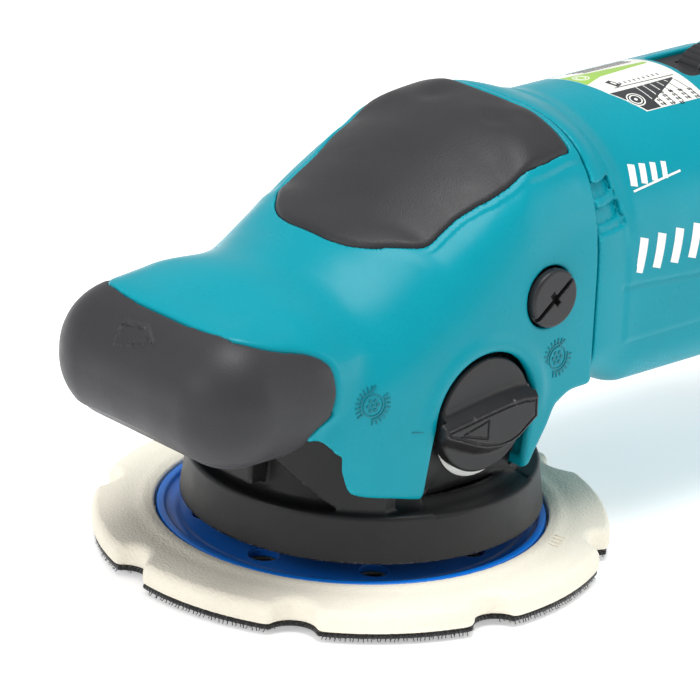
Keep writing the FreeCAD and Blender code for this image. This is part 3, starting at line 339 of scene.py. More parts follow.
def skirt(p):
    x, y, z = p.T
    r = np.hypot(x, y)
    outer = curve(z, [14.6, 27.0, 28.5], [52.5, 51.0, 50.9])
    band = meet(meet(r - outer, 14.6 - z, 0.6), z - 28.5, 1.5)
    band = cut(band, np.maximum(r - outer + 2.6, z - 25.6))
    # neck inside the head shell; left open where the sleeve runs
    neck_r = curve(z, [28, 36, 52], [45.5, 43.5, 41.4])
    neck = within(r - neck_r, neck_r - 2.6 - r, z - 52.2, 26 - z)
    d = join(band, neck, 2.5)
    # apron hanging behind the grip, cut off along a slope each side
    edge = 28.3 + 0.70 * (31.7 - np.abs(x)) - z
    apron = within(meet(edge * 0.82, r - 48.9, 1.4), 45.2 - r, z - 57)
    apron = within(apron, y + 24, np.abs(x) - 40.2)
    d = join(d, apron, 1.6)
    boss = rounded_box(p, (0.8, -46.6, 37.2), (7.0, 3.4, 5.6), 1.0)
    d = join(d, boss, 1.2)
    # flat face under the knob with a scooped shelf below it
    face = 39.5
    reach = np.abs(y - KNOB[0]) - 17.4
    arch = np.where(z > KNOB[1], np.hypot(y - KNOB[0], z - KNOB[1]) - 17.4, reach)
    tower = within(x - face, 36.4 - x, arch)
    tower = np.maximum(tower, 30 - z)
    scoop_floor = 28.4 + 0.042 * np.maximum(50.8 - r, 0) ** 2
    window = within(face - x, np.abs(y - KNOB[0]) - 19.2, scoop_floor - z)
    d = carve(d, window, 1.6)
    d = join(d, tower, 1.5)
    slit = within(np.abs(y - 21.0) - 0.5, 31.5 - z, 40.4 - x)
    d = cut(d, within(slit, z - 60, 37.5 - x))
    bore = np.maximum(np.hypot(y - KNOB[0], z - KNOB[1]) - 6.3, 30 - x)
    d = cut(d, bore)
    lug = rounded_box(p, (32.6, KNOB[0], 50), (3.7, 9.6, 14.7), 0.5)
    d = cut(d, lug)
    d = cut(d, np.maximum(r - 34.9, 20 - z))
    wall = cut(head(p), head(p) + WALL)
    leg = np.maximum(wall, 0.2 - np.minimum(opening(p), under_grip(p)))
    return cut(d, leg - 0.25)


def knob(p):
    x, y, z = p[:, 0], p[:, 1] - KNOB[0], p[:, 2] - KNOB[1]
    base = disc(y, z, x, 17.0, KNOB_FACE - 4.6, KNOB_FACE, 0.9)
    leaf = polygon_2d(y, z, LEVER_OUTLINE)
    rise = x - KNOB_FACE
    flank = (leaf + 0.62 * (rise - LEVER_RISE)) * 0.85
    lever = meet(flank, rise - LEVER_RISE, 0.8)
    lever = np.maximum(lever, KNOB_FACE - 2 - x)
    reach = np.hypot(y, z)
    lever = meet(lever, reach - 18.7, 0.7)
    lever = cut(lever, np.maximum(16.9 - reach, x - KNOB_FACE - 1.6))
    d = join(base, lever, 1.2)
    # outline groove and pointer on the lever's face
    groove = np.maximum(np.abs(leaf + 0.9) - 0.28, LEVER_RISE - 0.45 - rise)
    d = carve(d, groove, 0.25)
    arrow = np.abs(polygon_2d(y, z, [(-12.9, -2.1), (-2.6, -5.2), (-2.6, 0.3)])) - 0.24
    d = carve(d, np.maximum(arrow, LEVER_RISE - 0.4 - rise), 0.2)
    shaft = disc(y, z, x, 6.0, KNOB_FACE - 10.8, KNOB_FACE - 3, 0.4)
    return np.minimum(d, shaft)


# Outline of the lever's flat face, about the knob's axis.
LEVER_OUTLINE = [
    (-18.4, -0.9), (-17.2, -2.1), (-12.4, -4.2), (-7.5, -6.4), (-2.6, -8.2), (2.3, -8.9), (6.6, -8.7),
    (10.0, -7.5), (13.6, -4.9), (16.6, -2.8), (16.4, 3.1), (11, 3.8), (5.2, 3.6), (-2.4, 2.7), (-10.5, 1.5),
    (-18.2, 0.5),
]


def crescent(p):
    x = p[:, 0]
    a, b = p[:, 1] - KNOB[0] - 1.4, p[:, 2] - KNOB[1] + 5.2
    ring = disc(a, b, x, 15.0, KNOB_FACE - 5.5, KNOB_FACE - 4.8, 0.2)
    core = np.hypot(a, b) - 11.6
    return carve(ring, core, 0.2)


def plug(p):
    """Slotted screw plug on the +X side."""
    x, y, z = p[:, 0], p[:, 1] - PLUG[0], p[:, 2] - PLUG[1]
    d = disc(y, z, x, 8.6, 44.0, 47.4, 1.1)
    d = join(d, disc(y, z, x, 7.0, 40, 45, 0.4), 0.4)
    turn = math.radians(38)
    a, b = y * math.cos(turn) + z * math.sin(turn), -y * math.sin(turn) + z * math.cos(turn)
    d = carve(d, np.maximum(np.abs(b) - 0.75, 45.6 - x), 0.25)
    d = carve(d, within(np.abs(a) - 0.85, np.abs(b) - 2.4, 45.2 - x), 0.3)
    return d


def plug_far(p):
    return plug(p * np.array([-1.0, 1.0, 1.0]))


# ---- backing pad --------------------------------------------------------------------

def about_pad(p):
    x, y = p[:, 0] - PAD[0], p[:, 1] - PAD[1]
    return np.hypot(x, y), np.arctan2(y, x), p[:, 2]


def notch(r, angle, reach, radius):
    a = wrap(angle, 8, math.radians(306))
    return np.hypot(r * np.cos(a) - reach, r * np.sin(a)) - radius


def foam(p):
    r, angle, z = about_pad(p)
    profile = slab_2d(r, z, (37.5, 6.8), (37.5, 4.2), 1.6)
    slope = (z - 11.0 + 0.10 * np.maximum(r - 66, 0) ** 1.35) * 0.8
    d = meet(profile, slope, 2.5)
    swell = 0.5 * np.exp(-((r - 60.0) / 2.2) ** 2)
    d = d - swell * (z > 8)
    d = carve(d, notch(r, angle, 76.4, 6.6), 2.6)
    d = carve(d, np.maximum(r - 57.1, 5.4 - z), 0.8)
    hole = wrap(angle, 8, math.radians(282))
    d = carve(d, np.hypot(r * np.cos(hole) - 42, r * np.sin(hole)) - 8.5, 0.4)
    return np.maximum(d, 9 - r)


def hub(p):
    r, angle, z = about_pad(p)
    rim = slab_2d(r, z, (55.2, 7.75), (1.2, 2.3), 0.7)
    dish = slab_2d(r, z, (30, 6.7), (25, 1.25), 0.4)
    dish = join(dish, np.hypot(r - 51.5, z - 6.7) - 1.6, 1.5)
    boss = slab_2d(r, z, (9.5, 8.4), (9, 2.7), 0.8)
    neck = slab_2d(r, z, (8.5, 12), (2.4, 2.5), 0.3)
    d = join(join(join(rim, dish, 2.0), boss, 3.0), neck, 0.6)
    a = wrap(angle, 8, math.radians(282))
    d = carve(d, np.hypot(r * np.cos(a) - 42, r * np.sin(a)) - 4.2, 0.5)
    return np.maximum(d, 6.1 - r)


def hook_disc(p):
    r, angle, z = about_pad(p)
    d = slab_2d(r, z, (37, 1.85), (37.3, 0.65), 0.3)
    d = carve(d, notch(r, angle, 76.4, 6.9), 1.0)
    return np.maximum(d, 9 - r)


# ---- handle and battery -------------------------------------------------------------

HANDLE_END = 279.0
BACK = HANDLE_END + 0.5
HANDLE_SCREWS = ((170, 64), (170, 108), (254, 66), (258, 108))


def handle_form(p):
    x, y, z = p.T
    knots = [152, 168, 184, 215, 244, 264, 279]
    half = curve(y, knots, [43, 37, 32.5, 31, 32, 36.5, 38.5])
    low = curve(y, knots, [45, 51, 56.5, 58, 57, 47, 36])
    high = curve(y, knots, [123, 119, 114, 112.5, 114, 123, 134])
    mid = (low + high) / 2
    round_top = curve(y, knots, [2.05, 2.25, 2.4, 2.4, 2.5, 3.0, 3.6])
    power = np.where(z > mid, round_top, curve(y, knots, [3.4, 2.9, 2.5, 2.4, 2.5, 3.0, 3.6]))
    tall = (high - low) / 2
    norm = ((np.abs(x) / half) ** power + (np.abs(z - mid) / tall) ** power) ** (1 / power)
    return np.maximum(np.hypot(x, z - mid) * (1 - 1 / np.maximum(norm, 0.05)), -24) * 0.92


def grip_band(p):
    """Outline of the soft band round the handle."""
    y, z = p[:, 1], p[:, 2]
    nose = 186 + 5 * ((z - 85) / 27) ** 2
    tail = 248 - 4 * ((z - 85) / 27) ** 2
    return np.maximum(nose - y, y - tail)


def trigger_slot(p):
    return rounded_box(p, (0, 208, 52), (9.8, 31, 14.2), 2.5)


def handle_shell(p, side):
    x, y, z = p.T
    body = handle_form(p)
    d = meet(body, 152.05 - y, 0.5)
    d = meet(d, y - HANDLE_END, 1.2)
    inner = np.maximum(body + WALL, y - HANDLE_END + WALL)
    d = cut(d, inner)
    for by, bz in HANDLE_SCREWS:
        post = np.maximum(np.hypot(y - by, z - bz) - 5.6, body + 1)
        d = np.minimum(d, post)
    rail = rounded_box(p, (22 * side, 282, 75), (2, 4, 35), 0.6)
    lip = rounded_box(p, (24 * side, 283.6, 75), (3, 1.4, 35), 0.6)
    d = join(d, np.minimum(rail, lip), 0.6)
    d = carve(d, trigger_slot(p), 1.0)
    d = cut(d, rounded_box(p, (0, 280, 74), (14.4, 10, 22.4), 0.3))
    d = cut(d, rounded_box(p, (0, 279, 130), (10.6, 3.4, 9), 0.3))
    d = carve(d, np.maximum(np.hypot(y - 178, z - 80) - 6.1, 18 - x), 0.6)
    for by, bz in HANDLE_SCREWS:
        d = carve(d, np.maximum(np.hypot(y - by, z - bz) - 4.5, 23.8 - x), 0.6)
        d = cut(d, np.maximum(np.hypot(y - by, z - bz) - 2.1, -16 - x))
    for row in range(4):
        slot = slab_2d(y, z, (155.6 + 4.5 * row, 95), (1.1, 9), 1.0)
        d = carve(d, np.maximum(slot, 26 - np.abs(x)), 0.5)
    band = cut(grip_band(p), body + 2.2)
    d = carve(d, band - 0.08, 0.5)
    parting = 0.05 - side * x
    return meet(d, parting, 0.5)


def handle_left(p):
    return handle_shell(p, 1)


def handle_right(p):
    return handle_shell(p, -1)


def handle_grip(p):
    """Soft band with shallow finger ribs underneath and a dimpled top."""
    x, y, z = p.T
    body = handle_form(p)
    rib = 0.45 * np.cos((y - 186) * 2 * math.pi / 7.0) * ease(-z, -70, -64)
    panel = ease(np.abs(x), 22, 25) * ease(z, 68, 72) * (1 - ease(z, 98, 102))
    panel = panel * ease(y, 196, 200) * (1 - ease(y, 232, 238))
    chevron = 0.35 * np.clip(np.cos((y + 0.5 * np.abs(z - 85)) * 2 * math.pi / 5.0), -0.2, 1) * panel
    d = meet(body - 0.3 - rib - chevron, grip_band(p), 1.0)
    d = cut(d, body + 2.1)
    d = carve(d, trigger_slot(p), 0.8)
    return meet(d, 0.02 - np.abs(x), 0.3)


def trigger(p):
    x, y, z = p.T
    d = rounded_box(p, (0, 208, 57), (9, 30.4, 7.2), 3)
    d = carve(d, np.hypot(y - 214, z - 30.5) - 26, 1.5)
    d = cut(d, rounded_box(p, (0, 211, 60), (7, 25, 7), 0.5))
    for row in range(5):
        d = carve(d, np.hypot(y - 204 - 5 * row, z - 55.4 - 0.02 * (5 * row - 10) ** 2) - 0.9, 0.6)
    return cut(d, np.hypot(y - 181, z - 60) - 2.1)


def lock_button(p):
    x, y, z = p[:, 0], p[:, 1] - 178, p[:, 2] - 80
    d = disc(y, z, x, 5.4, 27, 37.6, 0.8)
    d = join(d, disc(y, z, x, 6.8, 26.2, 28.2, 0.3), 0.3)
    return carve(d, np.hypot(np.hypot(y, z), x - 43.2) - 6.2, 0.5)


def speed_dial(p):
    x, y, z = p[:, 0], p[:, 1] - 132, p[:, 2] - 114.6
    d = disc(y, z, x, 11, -4.5, 4.5, 0.7)
    r = np.hypot(y, z)
    a = wrap(np.arctan2(z, y), 30)
    d = carve(d, np.maximum(np.hypot(r * np.cos(a) - 11.5, r * np.sin(a)) - 0.75, np.abs(x) - 6), 0.25)
    return np.maximum(d, 2.05 - r)


def battery_corner(p):
    """The pack's outline: rounded along Y, nearly square at its two faces."""
    section = slab_2d(p[:, 0], p[:, 2], (0, 87), (37.5, 57), 7)
    return meet(meet(section, BACK - p[:, 1], 1.6), p[:, 1] - BACK - 62, 3.5)


def battery_cover(p):
    x, y, z = p.T
    d = battery_corner(p)
    d = meet(d, y - BACK - 20.4, 0.5)
    d = cut(d, rounded_box(p, (0, BACK + 26.5, 77.5), (34.5, 14, 44.5), 2))
    d = carve(d, rounded_box(p, (0, BACK + 4, 60), (16, 5.5, 40), 1), 0.5)
    for side in (-1, 1):
        d = cut(d, rounded_box(p, (22 * side, BACK + 2, 68), (2.5, 4.1, 42.4), 0.3))
        d = cut(d, rounded_box(p, (25.6 * side, BACK + 4.05, 68), (1.9, 2.0, 42.4), 0.3))
    d = cut(d, rounded_box(p, (0, BACK + 10, 140), (17.6, 6.6, 14), 0.5))
    d = cut(d, rounded_box(p, (0, BACK + 1, 140), (10.1, 5, 14), 0.3))
    for row in range(6):
        side_slot = slab_2d(y, z, (BACK + 11, 50 + 12 * row), (5.5, 1.6), 1.5)
        d = carve(d, np.maximum(side_slot, 36.8 - np.abs(x)), 0.4)
    return d


def battery_case(p):
    x, y, z = p.T
    section = slab_2d(x, z, (0, 87), (37.5, 57), 7)
    body = battery_corner(p)
    pad = ease(-slab_2d(x, z, (0, 87), (28, 46), 5), -0.8, 0.8) * ease(y, BACK + 58, BACK + 60)
    d = body + 0.7 * pad
    grip = ease(np.abs(x), 36, 37) * ease(y, BACK + 26, BACK + 28) * (1 - ease(y, BACK + 52, BACK + 54))
    d = d + 0.5 * grip * (0.5 + 0.5 * np.cos((z - 87) * 2 * math.pi / 6.0)) * (np.abs(z - 87) < 45)
    d = meet(d, BACK + 20.6 - y, 0.5)
    inner = rounded_box(p, (0, BACK + 31, 87), (35, 28.5, 54.5), 5)
    d = cut(d, inner)
    d = np.maximum(d, section - 0.4)
    return carve(d, np.maximum(np.hypot(x - 12, z - 58) - 3.4, BACK + 56 - y), 0.4)


def battery_latch(p):
    x, y, z = p.T
    d = rounded_box(p, (0, BACK + 10, 137.8), (17, 6, 6.8), 1.6)
    for row in range(4):
        groove = np.hypot(y - BACK - 5.5 - 3 * row, z - 144.9) - 0.9
        d = carve(d, np.maximum(groove, np.abs(x) - 13), 0.4)
    tongue = rounded_box(p, (0, BACK + 0.85, 133.5), (9.6, 3.65, 2.5), 0.5)
    return join(d, tongue, 0.5)


def charge_button(p):
    x, y, z = p[:, 0] - 12, p[:, 1] - BACK, p[:, 2] - 58
    d = disc(x, z, y, 3.1, 59.5, 62.7, 0.5)
    return carve(d, np.hypot(np.hypot(x, z), y - 66.4) - 4.2, 0.3)


# ---- from fields to meshes ----------------------------------------------------------

BLOCK = 8


def sample(field, points):
    parts = [field(points[i:i + 300000]) for i in range(0, len(points), 300000)]
    return np.concatenate(parts)


def voxels(field, low, high, cell):
    """Field values on a grid; blocks far from the surface hold one value."""
    low = np.asarray(low, float) - 2 * cell
    blocks = -(-(np.ceil((np.asarray(high) + 2 * cell - low) / cell).astype(int) + 1) // BLOCK)
    index = np.stack(np.meshgrid(*[np.arange(n) for n in blocks], indexing="ij"), -1).reshape(-1, 3)
    size = BLOCK * cell
    coarse = sample(field, low + (index + 0.5) * size - cell / 2)
    reach = size * 0.87 * 1.8
    values = np.repeat(np.where(coarse < 0, -reach, reach).astype(np.float32), BLOCK ** 3)
    near = np.nonzero(np.abs(coarse) < reach)[0]
    step = np.stack(np.meshgrid(*[np.arange(BLOCK)] * 3, indexing="ij"), -1).reshape(1, -1, 3)
    values = values.reshape(len(index), BLOCK ** 3)
    for i in range(0, len(near), 600):
        batch = near[i:i + 600]
        points = low + (index[batch][:, None, :] * BLOCK + step) * cell
        values[batch] = field(points.reshape(-1, 3)).reshape(len(batch), -1)
    b = blocks
    values = values.reshape(b[0], b[1], b[2], BLOCK, BLOCK, BLOCK).transpose(0, 3, 1, 4, 2, 5)
    return low, np.ascontiguousarray(values.reshape(b * BLOCK))


def gradient(field, p, step):
    g = np.empty_like(p)
    for axis in range(3):
        shift = np.zeros(3)
        shift[axis] = step
        g[:, axis] = (sample(field, p + shift) - sample(field, p - shift)) / (2 * step)
    return g


def add_object(name, mesh):
    piece = bpy.data.objects.new(name, mesh)
    bpy.context.scene.collection.objects.link(piece)
    return piece


def shell(name, field, low, high, cell):
    """Mesh of a field's surface, in metres, with smooth normals taken from the field."""
    low, values = voxels(field, low, high, cell)
    grid = openvdb.FloatGrid(float(values.max()))
    grid.copyFromArray(values)
    points, tris, quads = grid.convertToPolygons(0.0, 0.0)
    p = low + points.astype(float) * cell
    for _ in range(3):
        d = sample(field, p)
        g = gradient(field, p, 0.08)
        move = d / np.maximum((g * g).sum(1), 0.2)
        p -= g * np.clip(move, -0.5 * cell, 0.5 * cell)[:, None]
    g = gradient(field, p, 0.06)
    normal = g / np.maximum(np.linalg.norm(g, axis=1), 1e-6)[:, None]
    faces = quads.tolist() + tris.tolist()
    sampled = quads[:: max(1, len(quads) // 500)]
    cross = np.cross(p[sampled[:, 1]] - p[sampled[:, 0]], p[sampled[:, 2]] - p[sampled[:, 0]])
    if (cross * normal[sampled[:, 0]]).sum() < 0:
        faces = [face[::-1] for face in faces]
    mesh = bpy.data.meshes.new(name)
    mesh.from_pydata((p * MM).tolist(), [], faces)
    mesh.update()
    mesh.shade_smooth()
    mesh.normals_split_custom_set_from_vertices(normal.tolist())
    return add_object(name, mesh)


# ---- materials ----------------------------------------------------------------------

def linear(colour):
    """sRGB in 0 to 255 as the scene's linear colour."""
    out = [(c / 255 / 12.92) if c / 255 <= 0.04045 else ((c / 255 + 0.055) / 1.055) ** 2.4 for c in colour]
    return (*out, 1.0)


class Paint:
    """A Principled material with named helpers for procedural detail."""

    def __init__(self, name, **sockets):
        self.material = bpy.data.materials.new(name)
        self.material.use_nodes = True
        self.tree = self.material.node_tree
        self.shader = self.tree.nodes["Principled BSDF"]
        for socket, value in sockets.items():
            self.shader.inputs[socket.replace("_", " ")].default_value = value
        self.place = self.tree.nodes.new("ShaderNodeTexCoord").outputs["Object"]
        self.last_bump = None

    def node(self, kind, **settings):
        made = self.tree.nodes.new(kind)
        for key, value in settings.items():
            setattr(made, key, value)
        return made

    def link(self, source, target):
        self.tree.links.new(source, target)

    def stretch(self, scale):
        mapping = self.node("ShaderNodeMapping")
        mapping.inputs["Scale"].default_value = scale
        self.link(self.place, mapping.inputs["Vector"])
        return mapping.outputs["Vector"]

    def noise(self, scale, detail=3.0, rough=0.55, vector=None):
        made = self.node("ShaderNodeTexNoise")
        made.inputs["Scale"].default_value = scale
        made.inputs["Detail"].default_value = detail
        made.inputs["Roughness"].default_value = rough
        self.link(vector or self.place, made.inputs["Vector"])
        return made.outputs["Fac"]

    def cells(self, scale):
        made = self.node("ShaderNodeTexVoronoi")
        made.inputs["Scale"].default_value = scale
        self.link(self.place, made.inputs["Vector"])
        return made.outputs["Distance"]

    def ramp(self, factor, stops):
        made = self.node("ShaderNodeValToRGB")
        points = made.color_ramp.elements
        while len(points) < len(stops):
            points.new(0.5)
        for point, (at, colour) in zip(points, stops):
            point.position = at
            point.color = colour
        self.link(factor, made.inputs["Fac"])
        return made.outputs["Color"]

    def span(self, factor, low, high, start=0.3, end=0.7):
        made = self.node("ShaderNodeMapRange")
        made.inputs["From Min"].default_value = start
        made.inputs["From Max"].default_value = end
        made.inputs["To Min"].default_value = low
        made.inputs["To Max"].default_value = high
        self.link(factor, made.inputs["Value"])
        return made.outputs["Result"]

    def mix(self, factor, a, b):
        made = self.node("ShaderNodeMix", data_type="RGBA")
        self.link(factor, made.inputs["Factor"])
        for value, socket in ((a, made.inputs[6]), (b, made.inputs[7])):
            if isinstance(value, tuple):
                socket.default_value = value
            else:
                self.link(value, socket)
        return made.outputs[2]

    def colour(self, source):
        self.link(source, self.shader.inputs["Base Color"])

    def roughness(self, source):
        self.link(source, self.shader.inputs["Roughness"])

    def bump(self, height, distance, strength=1.0):
        made = self.node("ShaderNodeBump")
        made.inputs["Strength"].default_value = strength
        made.inputs["Distance"].default_value = distance
        self.link(height, made.inputs["Height"])
        if self.last_bump:
            self.link(self.last_bump, made.inputs["Normal"])
        self.last_bump = made.outputs["Normal"]
        self.link(self.last_bump, self.shader.inputs["Normal"])

    def edge_wear_and_highlight(self, base, wear_and_highlight, low=0.53, high=0.62):
        """Lightens convex edges, broken up by noise: partly edge wear and partly a painted highlight along
        the edges.
        """
        edge = self.span(self.node("ShaderNodeNewGeometry").outputs["Pointiness"], 0.0, 1.0, low, high)
        broken = self.span(self.noise(900, 4), 0.0, 1.0, 0.45, 0.62)
        both = self.node("ShaderNodeMath", operation="MULTIPLY")
        self.link(edge, both.inputs[0])
        self.link(broken, both.inputs[1])
        return self.mix(both.outputs[0], base, wear_and_highlight)


def shade(colour, amount):
    return (*[min(1.0, c * amount) for c in colour[:3]], 1.0)


def moulded(name, colour, rough, grain=0.0, pitch=2600, wear_and_highlight=None, spread=0.06, **sockets):
    """Moulded plastic: faint tone drift, uneven gloss and a spark-eroded grain."""
    base = linear(colour)
    m = Paint(name, Roughness=rough, **sockets)
    tone = m.ramp(m.noise(22, 4), [(0.32, shade(base, 1 - spread)), (0.68, shade(base, 1 + spread))])
    speck = m.mix(m.span(m.noise(1500, 2), 0.0, 0.22, 0.5, 0.75), tone, shade(base, 1.35))
    # Convex edges are lightened: partly wear, partly a painted highlight.
    m.colour(m.edge_wear_and_highlight(speck, wear_and_highlight) if wear_and_highlight else speck)
    m.roughness(m.span(m.noise(70, 5, 0.6), rough - 0.05, rough + 0.06))
    if grain:
        m.bump(m.cells(pitch), grain * MM)
    m.bump(m.noise(35, 2), 0.02 * MM, 0.5)
    return m.material


def soft_rubber(name, colour, rough, grain=0.06):
    """Soft-touch elastomer: matt, velvety, with a fine pebble."""
    base = linear(colour)
    m = Paint(name, Roughness=rough, Specular_IOR_Level=0.24, Sheen_Weight=0.04, Sheen_Roughness=0.45)
    tone = m.ramp(m.noise(30, 5), [(0.3, shade(base, 0.92)), (0.7, shade(base, 1.09))])
    lint = m.mix(m.span(m.noise(2600, 1), 0.0, 0.35, 0.62, 0.78), tone, shade(base, 1.7))
    # Convex edges are lightened: partly wear, partly a painted highlight.
    m.colour(m.edge_wear_and_highlight(lint, shade(base, 1.35)))
    m.roughness(m.span(m.noise(90, 4), rough - 0.07, rough + 0.06))
    m.bump(m.cells(2200), grain * MM, 0.6)
    m.bump(m.noise(5200, 2), 0.02 * MM, 0.5)
    return m.material


def open_foam(name, colour):
    """Open-cell foam: fine pores in two sizes over a warm cream, darkened as painted shade inside the
    pores.
    """
    base = linear(colour)
    m = Paint(name, Roughness=0.92, Sheen_Weight=0.15, Sheen_Roughness=0.6)
    pore = m.cells(1150)
    fine = m.cells(2600)
    tone = m.ramp(m.noise(26, 4), [(0.3, shade(base, 0.95)), (0.7, shade(base, 1.03))])
    # Darker colour in the pores of both sizes is painted shade.
    pores_painted_shade = m.mix(m.span(pore, 0.32, 0.0, 0.0, 0.28), tone, shade(base, 0.62))
    m.colour(m.mix(m.span(fine, 0.18, 0.0, 0.0, 0.25), pores_painted_shade, shade(base, 0.75)))
    m.roughness(m.span(m.noise(200, 3), 0.86, 0.98))
    m.bump(pore, 0.22 * MM, 0.7)
    m.bump(fine, 0.10 * MM, 0.6)
    return m.material


def metal(name, colour, rough, brushed=None, spread=0.08):
    base = linear(colour)
    m = Paint(name, Roughness=rough, Metallic=1.0)
    tone = m.ramp(m.noise(45, 5), [(0.3, shade(base, 1 - spread)), (0.7, shade(base, 1 + spread))])
    # Convex edges are lightened: partly wear, partly a painted highlight.
    m.colour(m.edge_wear_and_highlight(tone, shade(base, 1.3)))
    lines = m.noise(600, 4, 0.7, m.stretch(brushed or (1, 1, 1)))
    m.roughness(m.span(lines, rough - 0.08, rough + 0.10))
    m.bump(lines, 0.015 * MM, 0.6)
    return m.material


def hook_cloth(name, colour):
    """Woven backing with rows of hooks; the weave's dark troughs and light crests are painted shade and
    painted highlight.
    """
    base = linear(colour)
    m = Paint(name, Roughness=0.85, Sheen_Weight=0.3)
    weave = m.node("ShaderNodeMath", operation="MULTIPLY")
    for direction, factor in zip("XY", weave.inputs):
        rows = m.node("ShaderNodeTexWave", wave_type="BANDS", bands_direction=direction)
        rows.inputs["Scale"].default_value = 260
        m.link(m.place, rows.inputs["Vector"])
        m.link(rows.outputs["Fac"], factor)
    # Painted shade between the threads and painted highlight on their crests.
    m.colour(m.ramp(weave.outputs[0], [(0.1, shade(base, 0.6)), (0.7, shade(base, 1.8))]))
    m.roughness(m.span(m.noise(300, 3), 0.78, 0.95))
    m.bump(weave.outputs[0], 0.3 * MM, 0.8)
    return m.material


TEAL = moulded("teal_plastic", (0, 141, 157), 0.30, grain=0.012, pitch=3000, Specular_IOR_Level=0.17,
               wear_and_highlight=linear((40, 180, 195)), spread=0.045)
RUBBER = soft_rubber("grip_rubber", (50, 50, 53), 0.46)
CAP_RUBBER = soft_rubber("cap_rubber", (46, 46, 48), 0.42, grain=0.09)
BLACK = moulded("black_plastic", (38, 38, 40), 0.40, grain=0.03, wear_and_highlight=linear((120, 120, 124)),
                Specular_IOR_Level=0.32)
CORE_BLACK = moulded("core_plastic", (38, 38, 40), 0.44, grain=0.02, Specular_IOR_Level=0.32)
KNOB_BLACK = moulded("knob_plastic", (31, 31, 33), 0.36, grain=0.012, wear_and_highlight=linear((110, 110, 115)),
                     Specular_IOR_Level=0.3)
# The shroud's black is darker than the other black plastics: painted shade for its band, which faces down
# and away from the lamps.
SHROUD_PAINTED_SHADE = moulded("shroud_plastic_painted_shade", (27, 27, 28), 0.42, grain=0.03, wear_and_highlight=linear((120, 120, 124)),
                 Specular_IOR_Level=0.28)
RED = moulded("red_plastic", (196, 38, 30), 0.38, grain=0.015, wear_and_highlight=linear((230, 110, 95)))
WHITE = moulded("white_plastic", (236, 236, 232), 0.42, grain=0.01)
FOAM = open_foam("cream_foam", (240, 233, 216))
BLUE = moulded("blue_plastic", (14, 104, 205), 0.36, grain=0.012, wear_and_highlight=linear((60, 120, 200)),
               Coat_Weight=0.1)
# A brighter, purer copy of the hub's blue: painted light on the rim, which sits in shade.
RIM_BLUE_PAINTED_LIGHT = moulded("blue_rim_painted_light", (0, 112, 215), 0.34, grain=0.008, wear_and_highlight=linear((60, 150, 225)))
HOOKS = hook_cloth("hook_cloth", (26, 26, 29))
BRISTLE = moulded("hook_bristle", (34, 34, 38), 0.5, grain=0.004, pitch=9000)
STEEL = metal("bright_steel", (196, 198, 202), 0.26, (1, 1, 14))
DARK_STEEL = metal("dark_steel", (84, 84, 88), 0.40, (1, 14, 1))
ALLOY = metal("cast_alloy", (170, 172, 176), 0.48)
COPPER = metal("copper_wire", (196, 112, 66), 0.30, (1, 16, 1))
BOARD = moulded("green_board", (26, 92, 52), 0.42, grain=0.02)
WRAP = moulded("cell_wrap", (40, 84, 150), 0.30, grain=0.005)
FILM = moulded("label_white", (238, 238, 232), 0.30, grain=0.003, Coat_Weight=0.4, Coat_Roughness=0.15)
GREEN_INK = moulded("label_green", (150, 196, 60), 0.30, grain=0.003, Coat_Weight=0.4, Coat_Roughness=0.15)
INK = moulded("label_ink", (34, 38, 42), 0.32, grain=0.003, Coat_Weight=0.4, Coat_Roughness=0.15)
# A darker teal for the head's moulded icons, which are really the shell's own teal: painted shade standing
# in for the shade in their grooves.
TEAL_MARK_PAINTED_SHADE = moulded("raised_mark_painted_shade", (0, 112, 126), 0.34, grain=0.006, Specular_IOR_Level=0.26)

FINISH = {
    "teal_shell": TEAL, "black_rubber": RUBBER, "black_plastic": CORE_BLACK, "red_plastic": RED,
    "cream_foam": FOAM, "blue_plastic": BLUE, "hook_fabric": HOOKS, "white_plastic": WHITE,
    "label_film": FILM, "alloy": ALLOY, "green_board": BOARD, "cell_wrap": WRAP, "copper": COPPER,
    "dark_steel": DARK_STEEL, "steel": STEEL,
}


# ---- pieces -------------------------------------------------------------------------

def keep(piece, body, slot, material, *nodes):
    """Finishes a piece: its material, its body and the CAD nodes it stands for; the slot argument is not
    used.
    """
    if not piece.data.materials:
        piece.data.materials.append(material)
    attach(piece, body)
    if nodes:
        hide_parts(*nodes)
    return piece


def second_finish(piece, material, chosen):
    """Gives a material to the faces whose centres, in millimetres, are chosen."""
    piece.data.materials.append(material)
    centres = np.empty(len(piece.data.polygons) * 3)
    piece.data.polygons.foreach_get("center", centres)
    index = np.empty(len(piece.data.polygons), np.int32)
    piece.data.polygons.foreach_get("material_index", index)
    index[chosen(centres.reshape(-1, 3) / MM)] = len(piece.data.materials) - 1
    piece.data.polygons.foreach_set("material_index", index)


